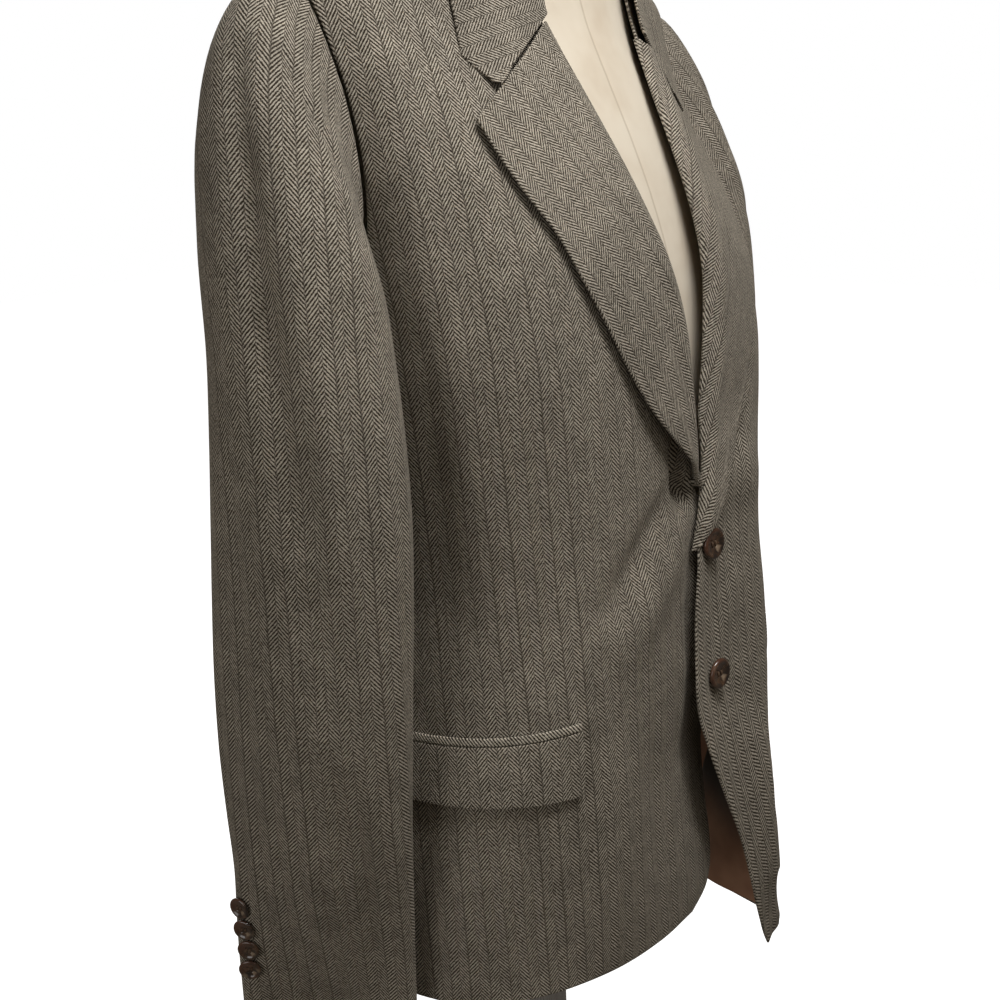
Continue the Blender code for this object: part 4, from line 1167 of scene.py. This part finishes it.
thread, shader = new_material("button_thread", (0.10, 0.055, 0.03, 1.0), 0.7)
twist = noise(solid_place(shader), 2500.0, 1.0)
feed(shader, "Base Color", mix_colour(twist, (0.05, 0.027, 0.015, 1.0), (0.17, 0.10, 0.055, 1.0)))

buttons = [(f"front_button_{number}", (0.0, 0.0), "front_left") for number in (1, 2)]
buttons += [
    (f"cuff_button_{side}_{number}", (s * CUFF_AXIS, 0.0), f"top_sleeve_{side}")
    for side, s in SIDES.items() for number in (1, 2, 3, 4)
]
for node, axis, carrier in buttons:
    centre, normal, radius = button_place(node, axis)
    if node.startswith("cuff"):
        turn = math.radians(CUFF_TURNS[int(node[-1]) - 1]) * -math.copysign(1, axis[0])
        spin = np.array(Matrix.Rotation(turn, 3, "Z"))
        pivot = np.array((*axis, 0.0))
        centre, normal = spin @ (centre - pivot) + pivot, spin @ normal
    centre = resting(centre, normal, radius, made[carrier])
    mesh = button_mesh(f"{node}_horn", radius)
    button = put_in_scene(f"{node}_horn", mesh)
    cutters = bmesh.new()
    bore = HOLE_RADIUS * radius
    for x in (-HOLE_REACH, HOLE_REACH):
        for y in (-HOLE_REACH, HOLE_REACH):
            bmesh.ops.create_cone(
                cutters, cap_ends=True, segments=HOLE_SIDES, radius1=bore, radius2=bore,
                depth=radius, matrix=Matrix.Translation((x * radius, y * radius, 0.2 * radius)),
            )
    cutter_mesh = bpy.data.meshes.new("button_holes")
    cutters.to_mesh(cutter_mesh)
    cutters.free()
    cutter = put_in_scene("button_holes", cutter_mesh)
    holes = button.modifiers.new("holes", "BOOLEAN")
    holes.object = cutter
    holes.solver = "EXACT"
    bored = bpy.data.meshes.new_from_object(button.evaluated_get(bpy.context.evaluated_depsgraph_get()))
    button.modifiers.clear()
    bpy.data.objects.remove(cutter)
    button.data = bored
    bored.name = f"{node}_horn"
    stitches = put_in_scene(f"{node}_thread", thread_mesh(f"{node}_thread", radius))
    for piece in (button, stitches):
        placed = place_on([v.co for v in piece.data.vertices], centre, normal)
        piece.data.vertices.foreach_set("co", np.array(placed, np.float32).ravel())
    dress(button, horn, node)
    stitches.data.materials.append(thread)
    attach(stitches, "root")

# --- Dress form ----------------------------------------------------------------------------------
# The padded torso, covered in ivory calico. The cover is seamed down the middle of the front,
# pulled tight and a little creased.

FORM_CELL = 0.006
FORM_RING = 32
FORM_COLUMNS = 160
CALICO = (0.70, 0.62, 0.50, 1.0)
CALICO_WORN = (0.58, 0.48, 0.36, 1.0)
CALICO_SEAM = (0.36, 0.27, 0.18, 1.0)


def form_rings(node, count):
    """The torso's rings from the neck down, each starting at the middle of the front."""
    shape = solid_shape(node)
    top = max(v.co.z for v in shape.verts)
    cap = {f for f in shape.faces if f.normal.z > 0.98 and f.calc_center_median().z > top - 0.01}
    level = {v for f in cap for v in f.verts}
    seen, rings = set(level), []
    while level:
        middle = sum((v.co for v in level), Vector()) / len(level)
        ring = sorted(level, key=lambda v: math.atan2(v.co.x - middle.x, middle.y - v.co.y))
        start = min(range(len(ring)), key=lambda i: abs(math.atan2(ring[i].co.x, middle.y - ring[i].co.y)))
        rings.append([tuple(v.co) for v in ring[start:] + ring[:start]])
        level = {e.other_vert(v) for v in level for e in v.link_edges} - seen
        seen |= level
    shape.free()
    if any(len(ring) != count for ring in rings):
        raise ValueError(f"{node} isn't made of rings of {count}: {[len(r) for r in rings]}")
    return np.array(rings)


rings = form_rings("form_torso", FORM_RING)
rings = np.concatenate((rings[:, -3:], rings, rings[:, :4]), axis=1)
down_knots = spaced(rings)
down_places = np.linspace(0, down_knots[-1], int(down_knots[-1] / FORM_CELL))
rings = along_curve(rings, down_knots, down_places).transpose(1, 0, 2)
round_knots = np.arange(len(rings), dtype=float)
round_places = np.linspace(3, 3 + FORM_RING, FORM_COLUMNS + 1)[:-1]
rings = along_curve(rings, round_knots, round_places).transpose(1, 0, 2)
rows, columns = rings.shape[:2]
index = np.arange(rows * columns).reshape(rows, columns)
quads = grid_quads(np.concatenate((index, index[:, :1]), axis=1)).tolist()
quads += [index[0].tolist(), index[-1][::-1].tolist()]
torso_mesh = bpy.data.meshes.new("form_torso_cover")
torso_mesh.from_pydata(rings.reshape(-1, 3).tolist(), [], quads)
steps = np.linalg.norm(np.diff(np.concatenate((rings, rings[:, :1]), axis=1), axis=1), axis=2)
around = np.concatenate((np.zeros((rows, 1)), np.cumsum(steps, axis=1)), axis=1)
around = np.where(around > around[:, -1:] / 2, around - around[:, -1:], around)[:, :columns]
steps = np.linalg.norm(np.diff(rings, axis=0), axis=2)
fall = np.concatenate((np.zeros((1, columns)), np.cumsum(steps, axis=0)))
lay_map(torso_mesh, np.stack((around.ravel(), fall.ravel()), axis=1))
smooth = np.ones(len(torso_mesh.polygons), bool)
smooth[-2:] = False
torso_mesh.polygons.foreach_set("use_smooth", smooth)
shape = bmesh.new()
shape.from_mesh(torso_mesh)
bmesh.ops.recalc_face_normals(shape, faces=shape.faces)
shape.to_mesh(torso_mesh)
shape.free()
torso = put_in_scene("form_torso_cover", torso_mesh)

calico, shader = new_material(
    "form_calico", CALICO, 0.85, Sheen_Weight=0.15, Sheen_Roughness=0.5, Specular_IOR_Level=0.25
)
place = mapped_place(shader)
x, y = split(place)
threads = calc("MULTIPLY", *(calc("SINE", calc("MULTIPLY", way, 6500.0)) for way in (x, y)))
seam_line = smooth_step(calc("ABSOLUTE", x), 0.0004, 0.0016)
warm = mix_colour(smooth_step(noise(place, 9.0, 4.0, 0.6), 0.4, 0.75), CALICO, CALICO_WORN)
feed(shader, "Base Color", mix_colour(smooth_step(seam_line, 0.0, 1.0, 0.35, 0.0), warm, CALICO_SEAM))
relief = calc("MULTIPLY_ADD", threads, 0.08, calc("MULTIPLY", seam_line, 1.2))
relief = calc("MULTIPLY_ADD", noise(place, 40.0, 3.0), 1.0, relief)
emboss(shader, relief, 0.5, 0.0006)
dress(torso, calico, "form_torso")

# --- Stand ---------------------------------------------------------------------------------------
# A turned and varnished wooden cap closes the neck. Underneath, a steel socket and pole stand in a
# round wooden base, which is flat below.

def stretched_grain(shader, stretch, *amounts):
    """A noise drawn out along one axis of the solid, for wood grain or brushed metal."""
    mapping = add_node(shader.id_data, "ShaderNodeMapping", in_Scale=stretch)
    return noise(feed(mapping, "Vector", solid_place(shader)).outputs["Vector"], *amounts)


wood, shader = new_material(
    "varnished_wood", (0.2, 0.1, 0.045, 1.0), 0.35, Coat_Weight=0.3, Coat_Roughness=0.2
)
grain = stretched_grain(shader, (1.0, 9.0, 1.0), 14.0, 5.0, 0.6)
colour = mix_colour(smooth_step(grain, 0.35, 0.65), (0.10, 0.045, 0.018, 1.0), (0.27, 0.14, 0.062, 1.0))
feed(shader, "Base Color", colour)
feed(shader, "Roughness", smooth_step(grain, 0.3, 0.7, 0.42, 0.28))

steel, shader = new_material("brushed_steel", (0.55, 0.55, 0.56, 1.0), 0.3, Metallic=1.0)
brush = stretched_grain(shader, (300.0, 300.0, 8.0), 3.0, 3.0)
feed(shader, "Base Color", mix_colour(brush, (0.42, 0.42, 0.43, 1.0), (0.62, 0.62, 0.64, 1.0)))
feed(shader, "Roughness", smooth_step(brush, 0.2, 0.8, 0.22, 0.4))

FINISHES = {"form_neck_cap": wood, "form_base": wood, "form_socket": steel, "form_pole": steel}
for node, finish in FINISHES.items():
    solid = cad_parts[node]
    for slot in solid.material_slots:
        slot.material = finish
